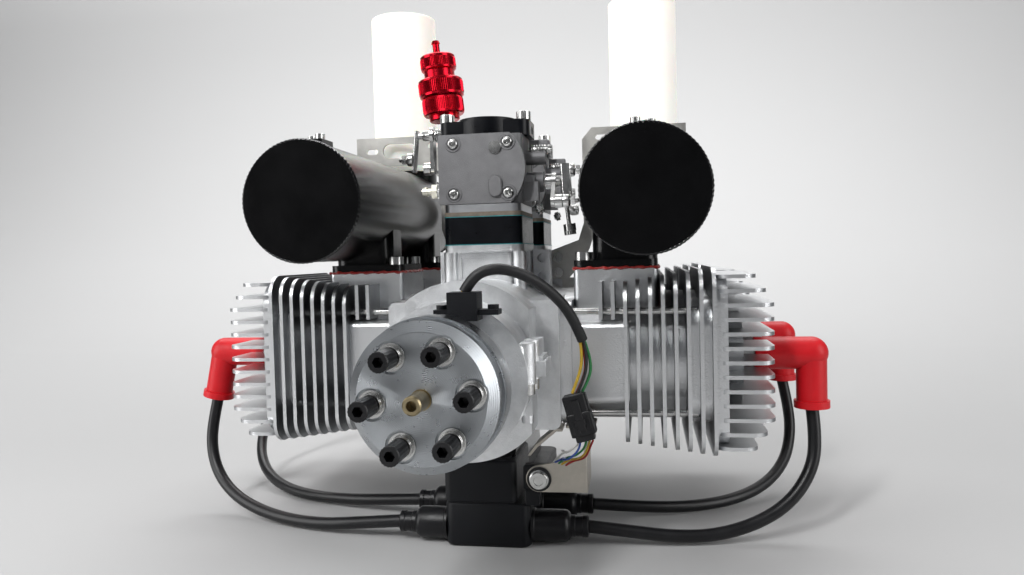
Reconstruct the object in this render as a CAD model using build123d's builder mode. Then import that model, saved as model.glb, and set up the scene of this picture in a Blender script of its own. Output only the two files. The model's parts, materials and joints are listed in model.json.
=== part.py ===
from build123d import *
from math import cos, sin, tan, degrees, radians, pi
import os

# Horizontally opposed four-cylinder two-stroke aircraft engine with two
# carburettors, two canister mufflers and a four-lead ignition module.
# Millimetres.  Origin: crank axis in the rear mounting plane.
# +Z up, -Y towards the propeller, +X the right-hand bank seen from the front.

# ---- driving dimensions -------------------------------------------------
BORE_R = 28.0
STROKE = 44.0
THROW = STROKE / 2
ROD_LENGTH = 84.0
BANK_OFFSET = 22.0          # left bank lies this much behind the right bank
PAIR_PITCH = 99.0           # front pair to rear pair
PAIR_FRONT_Y = -179.0       # middle of the front pair's crank chamber
PAIRS = {"front": PAIR_FRONT_Y, "rear": PAIR_FRONT_Y + PAIR_PITCH}
BANKS = {"right": 1, "left": -1}

CASE_HALF_X = 46.0          # crankcase side face, where the cylinders bolt on
CASE_HALF_Z = 34.0
CASE_R = 45.0
SEAT_X = 37.0               # inner end of the cylinder spigot seats
CHAMBER_R = 38.0
WEB_R = 36.0
SHAFT_R = 12.5
BEARING_R = 26.0
BEARING_W = 15.0
RUNNING = 0.05              # radial clearance of a running fit
PIN_GAP = 0.15              # crankpin end to web face

FIN_PITCH = 6.43
FIN_T = 2.0
FIN_HALF_Y = 46.5
FIN_OUTER_X = 126.4
HEAD_TIP_X = 156.0
HEAD_FIN_PITCH = 7.4
BORE_END_X = 127.0
HEAD_FIN_STEP_BACK = {5: 4.0, 6: 9.0}   # outer head fins are shorter
PLUG_HOLE_R = 7.1
STUDS = [(dy, z) for dy in (-36, 36) for z in (-27, 27)]
STUD_R = 1.9
STUD_FOOT_X = 34.0
STUD_END_X = 117.0
HEAD_BLOCK_X = 113.5        # the barrel widens into the head from here outwards

MUFFLER_X = 91.8
MUFFLER_Z = 90.1
MUFFLER_R = 33.1
MUFFLER_FRONT_Y = -243.4
MUFFLER_REAR_Y = -12.0
SHEET_T = 1.2
PORT_X = 75.0               # exhaust port and flange, along the cylinder
PORT_TOP_Z = 49.3
FLANGE_T = 4.0
OUTLET_Y = -40.0
OUTLET_R = 22.4
OUTLET_RISE = 14.0           # outlet stub above the canister
TUBE_R = 24.75
TUBE_BORE_R = 22.0
TUBE_TOP_Z = 243.0

TOWER_TOP_Z = 64.4
GASKET_T = 0.5
SPACER_T = 15.4
ADAPTER_T = 4.4
CARB_BOTTOM_Z = 87.6
CARB_TOP_Z = 127.5
CARB_HALF_X = 24.0
CARB_HALF_Y = 26.0
THROAT_R = 13.2
HORN_R = 14.8
THROTTLE_Z = 101.0
CHOKE_Z = 131.5
LEVER_R = 16.0
CHOKE_LEVER_R = 20.0

HUB_REAR_Y = -312.0
HUB_FRONT_Y = -326.0
HUB_NECK_Y = -307.5
SHAFT_TIP_Y = -318.0
WASHER_FRONT_Y = -339.0
HUB_R = 33.2
STUD_ROOT_R = 4.5            # centre stud inside hub and washer; its free end is thinner
WASHER_R = 32.1
BOLT_CIRCLE_R = 21.45
BOLT_CLOCK = 5.4

BRACKET_Y = -70.5           # rear face of the muffler brackets
BRACKET_SCREW_Z = (45.0, 56.0)

BASE_Z = -101.0             # the surface that the engine stands on
MODULE_FRONT_Y = -230.0
MODULE_REAR_Y = -96.0
LEAD_R = 3.55
LEAD_Z = -90.8              # where the leads leave the module
LEAD_EXIT_X = {"right": 58.0, "left": -48.0}
LEAD_EXIT_Y = {"front": -220.0, "rear": -180.0}
CABLE_R = 2.6

os.makedirs("parts", exist_ok=True)


# ---- helpers ------------------------------------------------------------
def save(part, label):
    part.label = label
    export_step(part, f"parts/{label}.step")


def station(y):
    """Plane facing the propeller at height y of the crank axis."""
    return Plane.XZ.offset(-y)


def outward(side, x, y, z=0.0):
    """Plane across a cylinder axis, facing away from the crankcase."""
    return Plane(origin=(side * x, y, z), x_dir=(0, side, 0), z_dir=(side, 0, 0))


def level(x, y, z):
    return Plane.XY.move(Location((x, y, z)))


def forward(x, y, z):
    """Plane facing -Y at a point."""
    return Plane(origin=(x, y, z), x_dir=(1, 0, 0), z_dir=(0, -1, 0))


def cylinder_y(pair, bank):
    """Station of one cylinder along the crank."""
    return PAIRS[pair] - BANKS[bank] * BANK_OFFSET / 2


def cap_screw(plane, head_r, head_h, shank_r, shank_l):
    """Socket cap screw: head on the plane's outer side, shank into it."""
    with BuildPart() as screw:
        with BuildSketch(plane):
            Circle(head_r)
        extrude(amount=head_h)
        with BuildSketch(plane):
            Circle(shank_r)
        extrude(amount=-shank_l)
        with BuildSketch(plane.offset(head_h)):
            RegularPolygon(head_r * 0.55, 6)
        extrude(amount=-head_h * 0.55, mode=Mode.SUBTRACT)
    return screw.part


def tube_along(points, radius):
    """Straight runs joined by arcs as large as the two runs allow."""
    radii = []
    for a, b, c in zip(points, points[1:], points[2:]):
        first = Vector(*b) - Vector(*a)
        second = Vector(*c) - Vector(*b)
        half_turn = radians(first.get_angle(second)) / 2
        radii.append(0.45 * min(first.length, second.length) / tan(half_turn))
    with BuildPart() as tube:
        with BuildLine() as path:
            FilletPolyline(*points, radius=radii)
        start = path.wires()[0]
        with BuildSketch(Plane(origin=start @ 0, z_dir=start % 0)):
            Circle(radius)
        sweep(path=start)
    length = sum(edge.length for edge in path.edges())
    expected = pi * radius ** 2 * length
    print(f"tube radii {min(radii):.1f}..{max(radii):.1f} length {length:.1f}"
          f" volume ratio {tube.part.volume / expected:.4f}")
    return tube.part


# ---- crankcase ----------------------------------------------------------
def case_outline(half_x, half_z, radius):
    Circle(radius)
    Rectangle(2 * half_x, 2 * half_z)


def crankcase_section(label, front_y, rear_y, pair_y, front_bore, rear_bore):
    """One crank chamber with its bearing walls, cylinder seats and intake tower.

    front_bore and rear_bore are lists of (start_y, end_y, radius)."""
    chamber_front = pair_y - 29.5
    chamber_rear = pair_y + 29.5
    with BuildPart() as case:
        with BuildSketch(station(rear_y)):
            case_outline(CASE_HALF_X, CASE_HALF_Z, CASE_R)
        extrude(amount=rear_y - front_y)
        fillet(case.edges().filter_by(Axis.Y), 4)
        # intake tower with its top flange
        with BuildSketch(level(0, pair_y, 30)):
            RectangleRounded(36, 42, 4)
        extrude(amount=TOWER_TOP_Z - 30)
        with BuildSketch(level(0, pair_y, 60.4)):
            RectangleRounded(46, 52, 6)
        extrude(amount=TOWER_TOP_Z - 60.4)
        for x in (-20, 20):
            for dy in (-19, 19):
                with BuildSketch(level(x, pair_y + dy, 36)):
                    Circle(4.2)
                extrude(amount=60.4 - 36)
        # lugs for the muffler bracket, beside the tower
        for x in (-29, 29):
            with BuildSketch(level(x, pair_y + 15, 30)):
                Rectangle(10, 11)
            extrude(amount=31)
            for z in BRACKET_SCREW_Z:
                with BuildSketch(forward(x, pair_y + 9.5, z)):
                    Circle(2.6)
                extrude(amount=-9, mode=Mode.SUBTRACT)
        # sump rib below
        with BuildSketch(level(0, pair_y, -CASE_R - 3)):
            RectangleRounded(26, 70, 6)
        extrude(amount=8)
        # crank chamber
        with BuildSketch(station(chamber_rear)):
            Circle(CHAMBER_R)
        extrude(amount=chamber_rear - chamber_front, mode=Mode.SUBTRACT)
        for start, end, radius in front_bore + rear_bore:
            with BuildSketch(station(end)):
                Circle(radius)
            extrude(amount=end - start, mode=Mode.SUBTRACT)
        # cylinder spigot seats
        for bank, side in BANKS.items():
            y = pair_y - side * BANK_OFFSET / 2
            with BuildSketch(outward(side, SEAT_X, y)):
                Circle(BORE_R + 2.7)
            extrude(amount=CASE_HALF_X - SEAT_X + 1, mode=Mode.SUBTRACT)
        for cylinder_pair in PAIRS:
            for bank, side in BANKS.items():
                for dy, z in STUDS:
                    y = cylinder_y(cylinder_pair, bank) + dy
                    if front_y < y < rear_y:
                        with BuildSketch(outward(side, STUD_FOOT_X, y, z)):
                            Circle(STUD_R + RUNNING)
                        extrude(amount=CASE_HALF_X - STUD_FOOT_X + 1, mode=Mode.SUBTRACT)
        # intake passage
        with BuildSketch(level(0, pair_y, 30)):
            RectangleRounded(28, 32, 3)
        extrude(amount=TOWER_TOP_Z - 30, mode=Mode.SUBTRACT)
    save(case.part, label)


MID_JOINT_Y = PAIR_FRONT_Y + PAIR_PITCH / 2
CASE_FRONT_Y = PAIR_FRONT_Y - 59
CASE_REAR_Y = PAIRS["rear"] + 58
FRONT_MAIN_Y = PAIR_FRONT_Y - 47        # front face of the front main bearing
CENTRE_MAINS_Y = (MID_JOINT_Y - 17.5, MID_JOINT_Y + 2.5)
REAR_MAIN_Y = PAIRS["rear"] + 31
NOSE_BEARING_Y = -302.0

crankcase_section(
    "crankcase_front", CASE_FRONT_Y, MID_JOINT_Y, PAIR_FRONT_Y,
    [(CASE_FRONT_Y, FRONT_MAIN_Y, 20), (FRONT_MAIN_Y, PAIR_FRONT_Y - 29, BEARING_R)],
    [(PAIR_FRONT_Y + 29, MID_JOINT_Y, 20), (MID_JOINT_Y - 17.5, MID_JOINT_Y, BEARING_R)])
crankcase_section(
    "crankcase_rear", MID_JOINT_Y, CASE_REAR_Y, PAIRS["rear"],
    [(MID_JOINT_Y, PAIRS["rear"] - 29, 20), (MID_JOINT_Y, MID_JOINT_Y + 17.5, BEARING_R)],
    [(PAIRS["rear"] + 29, REAR_MAIN_Y + BEARING_W, BEARING_R),
     (PAIRS["rear"] + 29, CASE_REAR_Y, 20)])

# nose housing: truncated round flange, stepped nose and screw lugs
NOSE_FRONT_Y = -306.0
FLANGE_FRONT_Y = -262.0
LUG_STATIONS = (-284.0, -268.0)
LUG_X = 35.0
with BuildPart() as nose_housing:
    with BuildSketch(station(CASE_FRONT_Y)):
        Circle(46)
        Rectangle(68, 120, mode=Mode.INTERSECT)
    extrude(amount=CASE_FRONT_Y - FLANGE_FRONT_Y)
    with BuildSketch(station(FLANGE_FRONT_Y)):
        Circle(37)
    extrude(amount=28)
    with BuildSketch(station(FLANGE_FRONT_Y - 28)):
        Circle(28.7)
    extrude(amount=FLANGE_FRONT_Y - 28 - NOSE_FRONT_Y)
    chamfer(nose_housing.faces().sort_by(Axis.Y)[0].outer_wire().edges(), 2)
    for side in (-1, 1):
        for y in LUG_STATIONS:
            with BuildSketch(level(side * LUG_X, y, -2)):
                Circle(5)
            extrude(amount=19)
            with BuildSketch(level(side * (LUG_X - 7), y, -2)):
                Rectangle(14, 10)
            extrude(amount=19)
    with BuildSketch(station(CASE_FRONT_Y)):
        Circle(20)
    extrude(amount=CASE_FRONT_Y - NOSE_FRONT_Y, mode=Mode.SUBTRACT)
    with BuildSketch(station(NOSE_BEARING_Y + BEARING_W)):
        Circle(BEARING_R)
    extrude(amount=BEARING_W + 4, mode=Mode.SUBTRACT)
    for side in (-1, 1):
        for y in LUG_STATIONS:
            with BuildSketch(level(side * LUG_X, y, -2)):
                Circle(2.6)
            extrude(amount=14, mode=Mode.SUBTRACT)
            with BuildSketch(level(side * LUG_X, y, -2)):
                Circle(5.0)
            extrude(amount=-22, mode=Mode.SUBTRACT)
save(nose_housing.part, "nose_housing")

# rear cover and the four standoffs behind it
COVER_T = 8.0
POSTS = [(x, z) for x in (-34, 34) for z in (-24, 24)]
COVER_SCREWS = [(0, 39), (0, -39), (-40, 0), (40, 0)]
with BuildPart() as rear_cover:
    with BuildSketch(station(CASE_REAR_Y + COVER_T)):
        case_outline(CASE_HALF_X, CASE_HALF_Z, CASE_R)
    extrude(amount=COVER_T)
    fillet(rear_cover.edges().filter_by(Axis.Y), 4)
    with BuildSketch(station(CASE_REAR_Y + COVER_T + 3)):
        Circle(22)
    extrude(amount=3)
    chamfer(rear_cover.faces().sort_by(Axis.Y)[-1].edges(), 1)
    for x, z in COVER_SCREWS:
        with BuildSketch(forward(x, CASE_REAR_Y + COVER_T, z)):
            Circle(2.6)
        extrude(amount=COVER_T, mode=Mode.SUBTRACT)
save(rear_cover.part, "rear_cover")

with BuildPart() as mount_standoffs:
    for x, z in POSTS:
        with BuildSketch(forward(x, 0, z)):
            Circle(8)
        extrude(amount=-(CASE_REAR_Y + COVER_T))
    for x, z in POSTS:
        with BuildSketch(forward(x, 0, z)):
            Circle(3.2)
        extrude(amount=-(CASE_REAR_Y + COVER_T), mode=Mode.SUBTRACT)
save(mount_standoffs.part, "mount_standoffs")


# ---- bearings and seal --------------------------------------------------
def ball_bearing(front_y):
    """Deep-groove bearing round the crank axis, front face at front_y."""
    mid_y = front_y + BEARING_W / 2
    pitch_r = (SHAFT_R + BEARING_R) / 2
    with BuildPart() as rings:
        with BuildSketch(Plane.XY):
            for inner, outer in ((SHAFT_R + RUNNING, 17.0), (21.5, BEARING_R)):
                with Locations(((inner + outer) / 2, mid_y)):
                    Rectangle(outer - inner, BEARING_W)
            with Locations((pitch_r, mid_y)):
                Circle(4.0, mode=Mode.SUBTRACT)
        revolve(axis=Axis.Y)
    with BuildPart(station(mid_y)) as balls:
        with PolarLocations(pitch_r, 9):
            Sphere(3.9)
    return [*rings.part.solids(), *balls.part.solids()]


bearing_solids = []
for y in (NOSE_BEARING_Y, FRONT_MAIN_Y, *CENTRE_MAINS_Y, REAR_MAIN_Y):
    bearing_solids += ball_bearing(y)
save(Compound(children=bearing_solids), "main_bearings")

with BuildPart() as shaft_seal:
    with BuildSketch(station(NOSE_BEARING_Y)):
        Circle(BEARING_R)
        Circle(SHAFT_R + 0.1, mode=Mode.SUBTRACT)
    extrude(amount=3.5)
    with BuildSketch(station(NOSE_BEARING_Y - 2)):
        Circle(22)
        Circle(SHAFT_R + 3, mode=Mode.SUBTRACT)
    extrude(amount=1.5, mode=Mode.SUBTRACT)
save(shaft_seal.part, "shaft_seal")

# reed cages hang from the tower's top into the intake passage
with BuildPart() as reed_blocks:
    for y in PAIRS.values():
        with BuildSketch(Plane.YZ.offset(-12)):
            with BuildLine():
                Polyline((y - 14, TOWER_TOP_Z - 1), (y + 14, TOWER_TOP_Z - 1),
                         (y + 2, 43), (y - 2, 43), close=True)
            make_face()
        extrude(amount=24)
        with BuildSketch(Plane.YZ.offset(-9)):
            with BuildLine():
                Polyline((y - 10, TOWER_TOP_Z - 1), (y + 10, TOWER_TOP_Z - 1),
                         (y + 1, 48), (y - 1, 48), close=True)
            make_face()
        extrude(amount=18, mode=Mode.SUBTRACT)
save(reed_blocks.part, "reed_blocks")


# ---- cylinders ----------------------------------------------------------
def cylinder():
    """One-piece cylinder and head on the right-hand side; its bore runs along X."""
    with BuildPart() as body:
        # spigot, base flange and barrel
        with BuildSketch(outward(1, 41, 0)):
            Circle(BORE_R + 2.4)
        extrude(amount=CASE_HALF_X - 41)
        with BuildSketch(outward(1, CASE_HALF_X, 0)):
            RectangleRounded(84, 66, 8)
        extrude(amount=6)
        with BuildSketch(outward(1, CASE_HALF_X, 0)):
            Circle(36)
        extrude(amount=BORE_END_X - CASE_HALF_X)
        # transfer passages bulge to the front and rear
        with BuildSketch(outward(1, CASE_HALF_X, 0)):
            RectangleRounded(82, 44, 4)
        extrude(amount=36)
        # exhaust port block on top
        with BuildSketch(level(PORT_X, 0, 0)):
            RectangleRounded(46, 46, 3)
        extrude(amount=PORT_TOP_Z)
        # fins across the barrel, the two nearest the flange only above it
        for k in range(8):
            with BuildSketch(outward(1, FIN_OUTER_X - FIN_T - k * FIN_PITCH, 0)):
                RectangleRounded(2 * FIN_HALF_Y, 2 * (49.4 - 0.95 * k), 12)
            extrude(amount=FIN_T)
        for k in (8, 9):
            with BuildSketch(outward(1, FIN_OUTER_X - FIN_T - k * FIN_PITCH, 0, 33)):
                Rectangle(2 * FIN_HALF_Y - 8, 20)
            extrude(amount=FIN_T)
        # head plate, combustion dome and the fins along the axis
        with BuildSketch(outward(1, FIN_OUTER_X - FIN_T, 0)):
            RectangleRounded(84, 90, 14)
        extrude(amount=8)
        with BuildSketch(outward(1, HEAD_BLOCK_X, 0)):
            RectangleRounded(81, 66, 14)
        extrude(amount=FIN_OUTER_X - FIN_T - HEAD_BLOCK_X)
        with BuildSketch(outward(1, BORE_END_X, 0)):
            Circle(24)
        extrude(amount=15)
        root = FIN_OUTER_X - 1
        for k in range(-6, 7):
            tip = HEAD_TIP_X - HEAD_FIN_STEP_BACK.get(abs(k), 0)
            with BuildSketch(level((tip + root) / 2, 0, k * HEAD_FIN_PITCH - FIN_T / 2)):
                RectangleRounded(tip - root, 86, 8)
            extrude(amount=FIN_T)
        with BuildSketch(outward(1, BORE_END_X + 13, 0)):
            Circle(12.5)
        extrude(amount=30, mode=Mode.SUBTRACT)
        for dy, z in STUDS:
            with BuildSketch(outward(1, CASE_HALF_X - 1, dy, z)):
                Circle(STUD_R + RUNNING)
            extrude(amount=STUD_END_X + 2 - CASE_HALF_X, mode=Mode.SUBTRACT)
        # bore, plug hole and exhaust port
        with BuildSketch(outward(1, 40, 0)):
            Circle(BORE_R)
        extrude(amount=BORE_END_X - 40, mode=Mode.SUBTRACT)
        with BuildSketch(outward(1, BORE_END_X - 1, 0)):
            Circle(PLUG_HOLE_R)
        extrude(amount=20, mode=Mode.SUBTRACT)
        with BuildSketch(level(PORT_X + 9, 0, 20)):
            RectangleRounded(14, 30, 3)
        extrude(amount=PORT_TOP_Z - 20, mode=Mode.SUBTRACT)
    return body.part


cylinder_casting = cylinder()
for pair in PAIRS:
    for bank, side in BANKS.items():
        turn = 0 if side > 0 else 180
        place = Location((0, cylinder_y(pair, bank), 0), (0, 0, turn))
        save(cylinder_casting.moved(place), f"cylinder_{pair}_{bank}")

# spark plugs screwed into the heads, and their elbow caps
with BuildPart() as spark_plugs:
    for pair in PAIRS:
        for bank, side in BANKS.items():
            y = cylinder_y(pair, bank)
            for start, end, radius in ((127.5, 141, 7.0), (141, 149, 9.2), (149, 162, 5.0)):
                with BuildSketch(outward(side, start, y)):
                    Circle(radius)
                extrude(amount=end - start)
save(spark_plugs.part, "spark_plugs")

CAP_X = 180.8                # elbow of the cap
CAP_LEG = 30.3
CAP_ARM_R = 9.0
CAP_LEG_R = 8.2
CAP_LEAN = {"right": 0.0, "left": 12.0}     # degrees, mouth outwards


def cap_mouth(pair, bank):
    """Plane at the cap's mouth, facing along the lead."""
    side = BANKS[bank]
    lean = radians(CAP_LEAN[bank])
    down = Vector(side * sin(lean), 0, -cos(lean))
    elbow = Vector(side * CAP_X, cylinder_y(pair, bank), 0)
    return Plane(origin=elbow + down * CAP_LEG, x_dir=(0, 1, 0), z_dir=down)


with BuildPart() as plug_caps:
    for pair in PAIRS:
        for bank, side in BANKS.items():
            y = cylinder_y(pair, bank)
            mouth = cap_mouth(pair, bank)
            with BuildSketch(outward(side, 150, y)):
                Circle(CAP_ARM_R)
            extrude(amount=CAP_X - 150)
            with BuildSketch(mouth):
                Circle(CAP_LEG_R)
            extrude(amount=-CAP_LEG)
            with BuildSketch(mouth):
                Circle(9.6)
            extrude(amount=-4)
            with Locations((side * CAP_X, y, 0)):
                Sphere(CAP_ARM_R)
            with BuildSketch(outward(side, 149, y)):
                Circle(5.0)
            extrude(amount=13, mode=Mode.SUBTRACT)
save(plug_caps.part, "plug_caps")


# ---- exhaust ------------------------------------------------------------
def muffler(label, side):
    """Closed sheet canister with two flanged necks and an outlet stub."""
    with BuildPart() as can:
        with BuildSketch(station(MUFFLER_REAR_Y)):
            with Locations((side * MUFFLER_X, MUFFLER_Z)):
                Circle(MUFFLER_R)
        extrude(amount=MUFFLER_REAR_Y - MUFFLER_FRONT_Y)
        for pair in PAIRS:
            y = PAIRS[pair] - side * BANK_OFFSET / 2
            with BuildSketch(level(side * PORT_X, y, PORT_TOP_Z + 1)):
                RectangleRounded(46, 46, 6)
            extrude(amount=FLANGE_T)
            with BuildSketch(level(side * 80, y, PORT_TOP_Z + 1)):
                RectangleRounded(36, 30, 8)
            extrude(amount=MUFFLER_Z - PORT_TOP_Z - 12)
        with BuildSketch(level(side * MUFFLER_X, OUTLET_Y, MUFFLER_Z)):
            Circle(OUTLET_R)
        extrude(amount=MUFFLER_R + OUTLET_RISE)
        # inside: the canister's chamber, the neck ducts and the outlet
        with BuildSketch(station(MUFFLER_REAR_Y - 2)):
            with Locations((side * MUFFLER_X, MUFFLER_Z)):
                Circle(MUFFLER_R - SHEET_T)
        extrude(amount=MUFFLER_REAR_Y - MUFFLER_FRONT_Y - 4, mode=Mode.SUBTRACT)
        for pair in PAIRS:
            y = PAIRS[pair] - side * BANK_OFFSET / 2
            with BuildSketch(level(side * 84, y, PORT_TOP_Z)):
                RectangleRounded(14, 26, 3)
            extrude(amount=MUFFLER_Z - PORT_TOP_Z - 12, mode=Mode.SUBTRACT)
        with BuildSketch(level(side * MUFFLER_X, OUTLET_Y, MUFFLER_Z)):
            Circle(OUTLET_R - SHEET_T)
        extrude(amount=MUFFLER_R + OUTLET_RISE + 1, mode=Mode.SUBTRACT)
        # strap pad on top near the front
        with BuildSketch(level(side * MUFFLER_X, MUFFLER_FRONT_Y + 24, MUFFLER_Z + MUFFLER_R - 2)):
            Rectangle(14, 16)
        extrude(amount=4.5)
        # neck flange screw holes
        for pair in PAIRS:
            y = PAIRS[pair] - side * BANK_OFFSET / 2
            for dy in (-18, 18):
                with BuildSketch(level(side * 57, y + dy, PORT_TOP_Z)):
                    Circle(2.6)
                extrude(amount=FLANGE_T + 2, mode=Mode.SUBTRACT)
    save(can.part, label)


muffler("muffler_left", -1)
muffler("muffler_right", 1)

with BuildPart() as exhaust_gaskets:
    for pair in PAIRS:
        for bank, side in BANKS.items():
            y = cylinder_y(pair, bank)
            with BuildSketch(level(side * PORT_X, y, PORT_TOP_Z)):
                RectangleRounded(46.6, 46.6, 4)
                with Locations((side * 9, 0)):
                    Rectangle(16, 30, mode=Mode.SUBTRACT)
                with Locations((-side * 18, -18), (-side * 18, 18)):
                    Circle(2.7, mode=Mode.SUBTRACT)
            extrude(amount=1.0)
save(exhaust_gaskets.part, "exhaust_gaskets")

with BuildPart() as exhaust_tubes:
    for side in (-1, 1):
        with BuildSketch(level(side * MUFFLER_X, OUTLET_Y, MUFFLER_Z + MUFFLER_R + 1)):
            Circle(TUBE_R)
            Circle(TUBE_BORE_R, mode=Mode.SUBTRACT)
        extrude(amount=TUBE_TOP_Z - MUFFLER_Z - MUFFLER_R - 1)
        # socket over the outlet stub
        with BuildSketch(level(side * MUFFLER_X, OUTLET_Y, MUFFLER_Z + MUFFLER_R + 1)):
            Circle(OUTLET_R)
        extrude(amount=OUTLET_RISE - 0.5, mode=Mode.SUBTRACT)
    fillet(exhaust_tubes.faces().filter_by(Axis.Z).group_by(Axis.Z)[-1].edges(), 1.1)
save(exhaust_tubes.part, "exhaust_tubes")

# sheet brackets that carry the mufflers from the crankcase
with BuildPart() as muffler_brackets:
    for side in (-1, 1):
        with BuildSketch(station(BRACKET_Y)):
            with BuildLine():
                Polyline((side * 24.5, 40), (side * 24.5, 61), (side * 44, 68), (side * 48, 80),
                         (side * 48, 140), (side * 55, 148), (side * 121, 148), (side * 121, 127),
                         (side * 101, 127), (side * 70, 127), (side * 57, 116), (side * 57, 78),
                         (side * 52, 62), (side * 47, 52.5), (side * 36, 40), close=True)
            make_face()
            with Locations((side * 109, 138), (side * 62, 141)):
                SlotOverall(9, 4, mode=Mode.SUBTRACT)
            with Locations((side * 88, 138)):
                SlotOverall(26, 11, mode=Mode.SUBTRACT)
            with Locations(*[(side * 29, z) for z in BRACKET_SCREW_Z]):
                Circle(2.6, mode=Mode.SUBTRACT)
        extrude(amount=3)
        # foot on the crankcase shoulder
        with BuildSketch(level(side * 38, BRACKET_Y - 1.5, 34)):
            Rectangle(13, 3)
        extrude(amount=7)
save(muffler_brackets.part, "muffler_brackets")


# ---- intake stack -------------------------------------------------------
SPACER_Z = TOWER_TOP_Z + GASKET_T
INSULATOR_Z = SPACER_Z + SPACER_T + GASKET_T
ADAPTER_Z = CARB_BOTTOM_Z - ADAPTER_T


def stack_plates(label, half_x, half_y, corner, bottoms, thickness, hole):
    """The same plate under both carburettors, at each height in bottoms."""
    with BuildPart() as plates:
        for y in PAIRS.values():
            for z in bottoms:
                with BuildSketch(level(0, y, z)):
                    RectangleRounded(2 * half_x, 2 * half_y, corner)
                    Circle(hole, mode=Mode.SUBTRACT)
                extrude(amount=thickness)
    save(plates.part, label)


stack_plates("carburettor_spacers", 22.6, 26.2, 5, [SPACER_Z], SPACER_T, THROAT_R)
stack_plates("carburettor_insulators", 22.6, 26.0, 5, [INSULATOR_Z], ADAPTER_Z - INSULATOR_Z,
             THROAT_R)
stack_plates("carburettor_adapters", 22.2, 25.6, 5, [ADAPTER_Z], ADAPTER_T, THROAT_R)
stack_plates("carburettor_gaskets", 22.9, 26.4, 5, [TOWER_TOP_Z, INSULATOR_Z - GASKET_T],
             GASKET_T, THROAT_R)

SHAFT_HOLE_R = 3.0 + RUNNING
CHOKE_HOLE_R = 2.5 + RUNNING


def carburettor(label, y):
    """Diaphragm carburettor body with an upright throat."""
    with BuildPart() as carb:
        with BuildSketch(level(0, y, CARB_BOTTOM_Z)):
            RectangleRounded(2 * CARB_HALF_X - 2, 2 * CARB_HALF_Y - 10, 3)
        extrude(amount=CARB_TOP_Z - CARB_BOTTOM_Z)
        # throttle shaft boss, pump boss and idle-stop lug on the right
        with BuildSketch(outward(1, 20, y, THROTTLE_Z)):
            Circle(6)
        extrude(amount=13)
        with BuildSketch(outward(1, 20, y - 3, 115)):
            Circle(4.2)
        extrude(amount=15)
        with BuildSketch(level(27, y - 13, 89)):
            Rectangle(9, 7)
        extrude(amount=11)
        # fuel inlet boss on the left
        with BuildSketch(outward(-1, 20, y - 8, 97)):
            Circle(5)
        extrude(amount=6.5)
        # throat, wider above where the choke disc swings
        with BuildSketch(level(0, y, CARB_BOTTOM_Z)):
            Circle(THROAT_R)
        extrude(amount=CARB_TOP_Z - CARB_BOTTOM_Z, mode=Mode.SUBTRACT)
        with BuildSketch(level(0, y, 115.5)):
            Circle(HORN_R)
        extrude(amount=CARB_TOP_Z - 115.5, mode=Mode.SUBTRACT)
        with BuildSketch(outward(1, -18, y, THROTTLE_Z)):
            Circle(SHAFT_HOLE_R)
        extrude(amount=60, mode=Mode.SUBTRACT)
    save(carb.part, label)


for pair, y in PAIRS.items():
    carburettor(f"carburettor_{pair}", y)

# diaphragm covers: the pump's on the front face, the metering one behind
COVER_SCREWS_XZ = [(-15.7, 93.5), (15.7, 93.5), (-15.7, 122.0), (15.7, 122.0)]
with BuildPart() as diaphragm_covers:
    for y in PAIRS.values():
        with BuildSketch(forward(0, y - CARB_HALF_Y + 5, 107.4)):
            with BuildLine():
                Polyline((-24.5, -19.5), (17, -19.5))
                ThreePointArc((17, -19.5), (25.5, -1), (17, 20))
                Polyline((17, 20), (-24.5, 20), (-24.5, -19.5))
            make_face()
        extrude(amount=5)
        with BuildSketch(forward(0, y + CARB_HALF_Y - 0.5, 107.4)):
            RectangleRounded(46, 38, 8)
        extrude(amount=4.5)
        with BuildSketch(forward(0, y + CARB_HALF_Y + 1.5, 107.4)):
            Circle(15)
        extrude(amount=2)
        for x, z in COVER_SCREWS_XZ:
            with BuildSketch(forward(x, y - CARB_HALF_Y + 5, z)):
                Circle(1.7)
            extrude(amount=6, mode=Mode.SUBTRACT)
save(diaphragm_covers.part, "diaphragm_covers")

# black air-horn plates carry the choke shafts
with BuildPart() as air_horn_plates:
    for y in PAIRS.values():
        with BuildSketch(level(0, y, CARB_TOP_Z)):
            RectangleRounded(53, 30, 6)
            Circle(19)
        extrude(amount=9)
        with BuildSketch(level(0, y, CARB_TOP_Z)):
            Circle(17)
        extrude(amount=11)
        with BuildSketch(level(0, y, CARB_TOP_Z)):
            Circle(HORN_R)
        extrude(amount=11, mode=Mode.SUBTRACT)
        with BuildSketch(outward(-1, -30, y, CHOKE_Z)):
            Circle(CHOKE_HOLE_R)
        extrude(amount=60, mode=Mode.SUBTRACT)
        for x in (-22.8, 22.8):
            with BuildSketch(level(x, y - 8, CARB_TOP_Z)):
                Circle(2.1)
            extrude(amount=9, mode=Mode.SUBTRACT)
save(air_horn_plates.part, "air_horn_plates")

screws = []
for y in PAIRS.values():
    for x, z in COVER_SCREWS_XZ:
        screws.append(cap_screw(forward(x, y - CARB_HALF_Y, z), 3.0, 2.0, 1.6, 5))
    for x in (-22.8, 22.8):
        screws.append(cap_screw(level(x, y - 8, CARB_TOP_Z + 9), 4.2, 5.0, 2.0, 8.9))
save(Compound(children=[solid for screw in screws for solid in screw.solids()]),
     "carburettor_screws")

# brass hose nipples into the fuel inlet bosses
with BuildPart() as fuel_inlets:
    for y in PAIRS.values():
        for start, length, radius in ((26.5, 6.5, 4.6), (33, 6, 2.2), (36, 1.5, 2.9)):
            with BuildSketch(outward(-1, start, y - 8, 97)):
                if start == 26.5:
                    RegularPolygon(radius, 6)
                else:
                    Circle(radius)
            extrude(amount=length)
save(fuel_inlets.part, "fuel_inlets")


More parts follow.
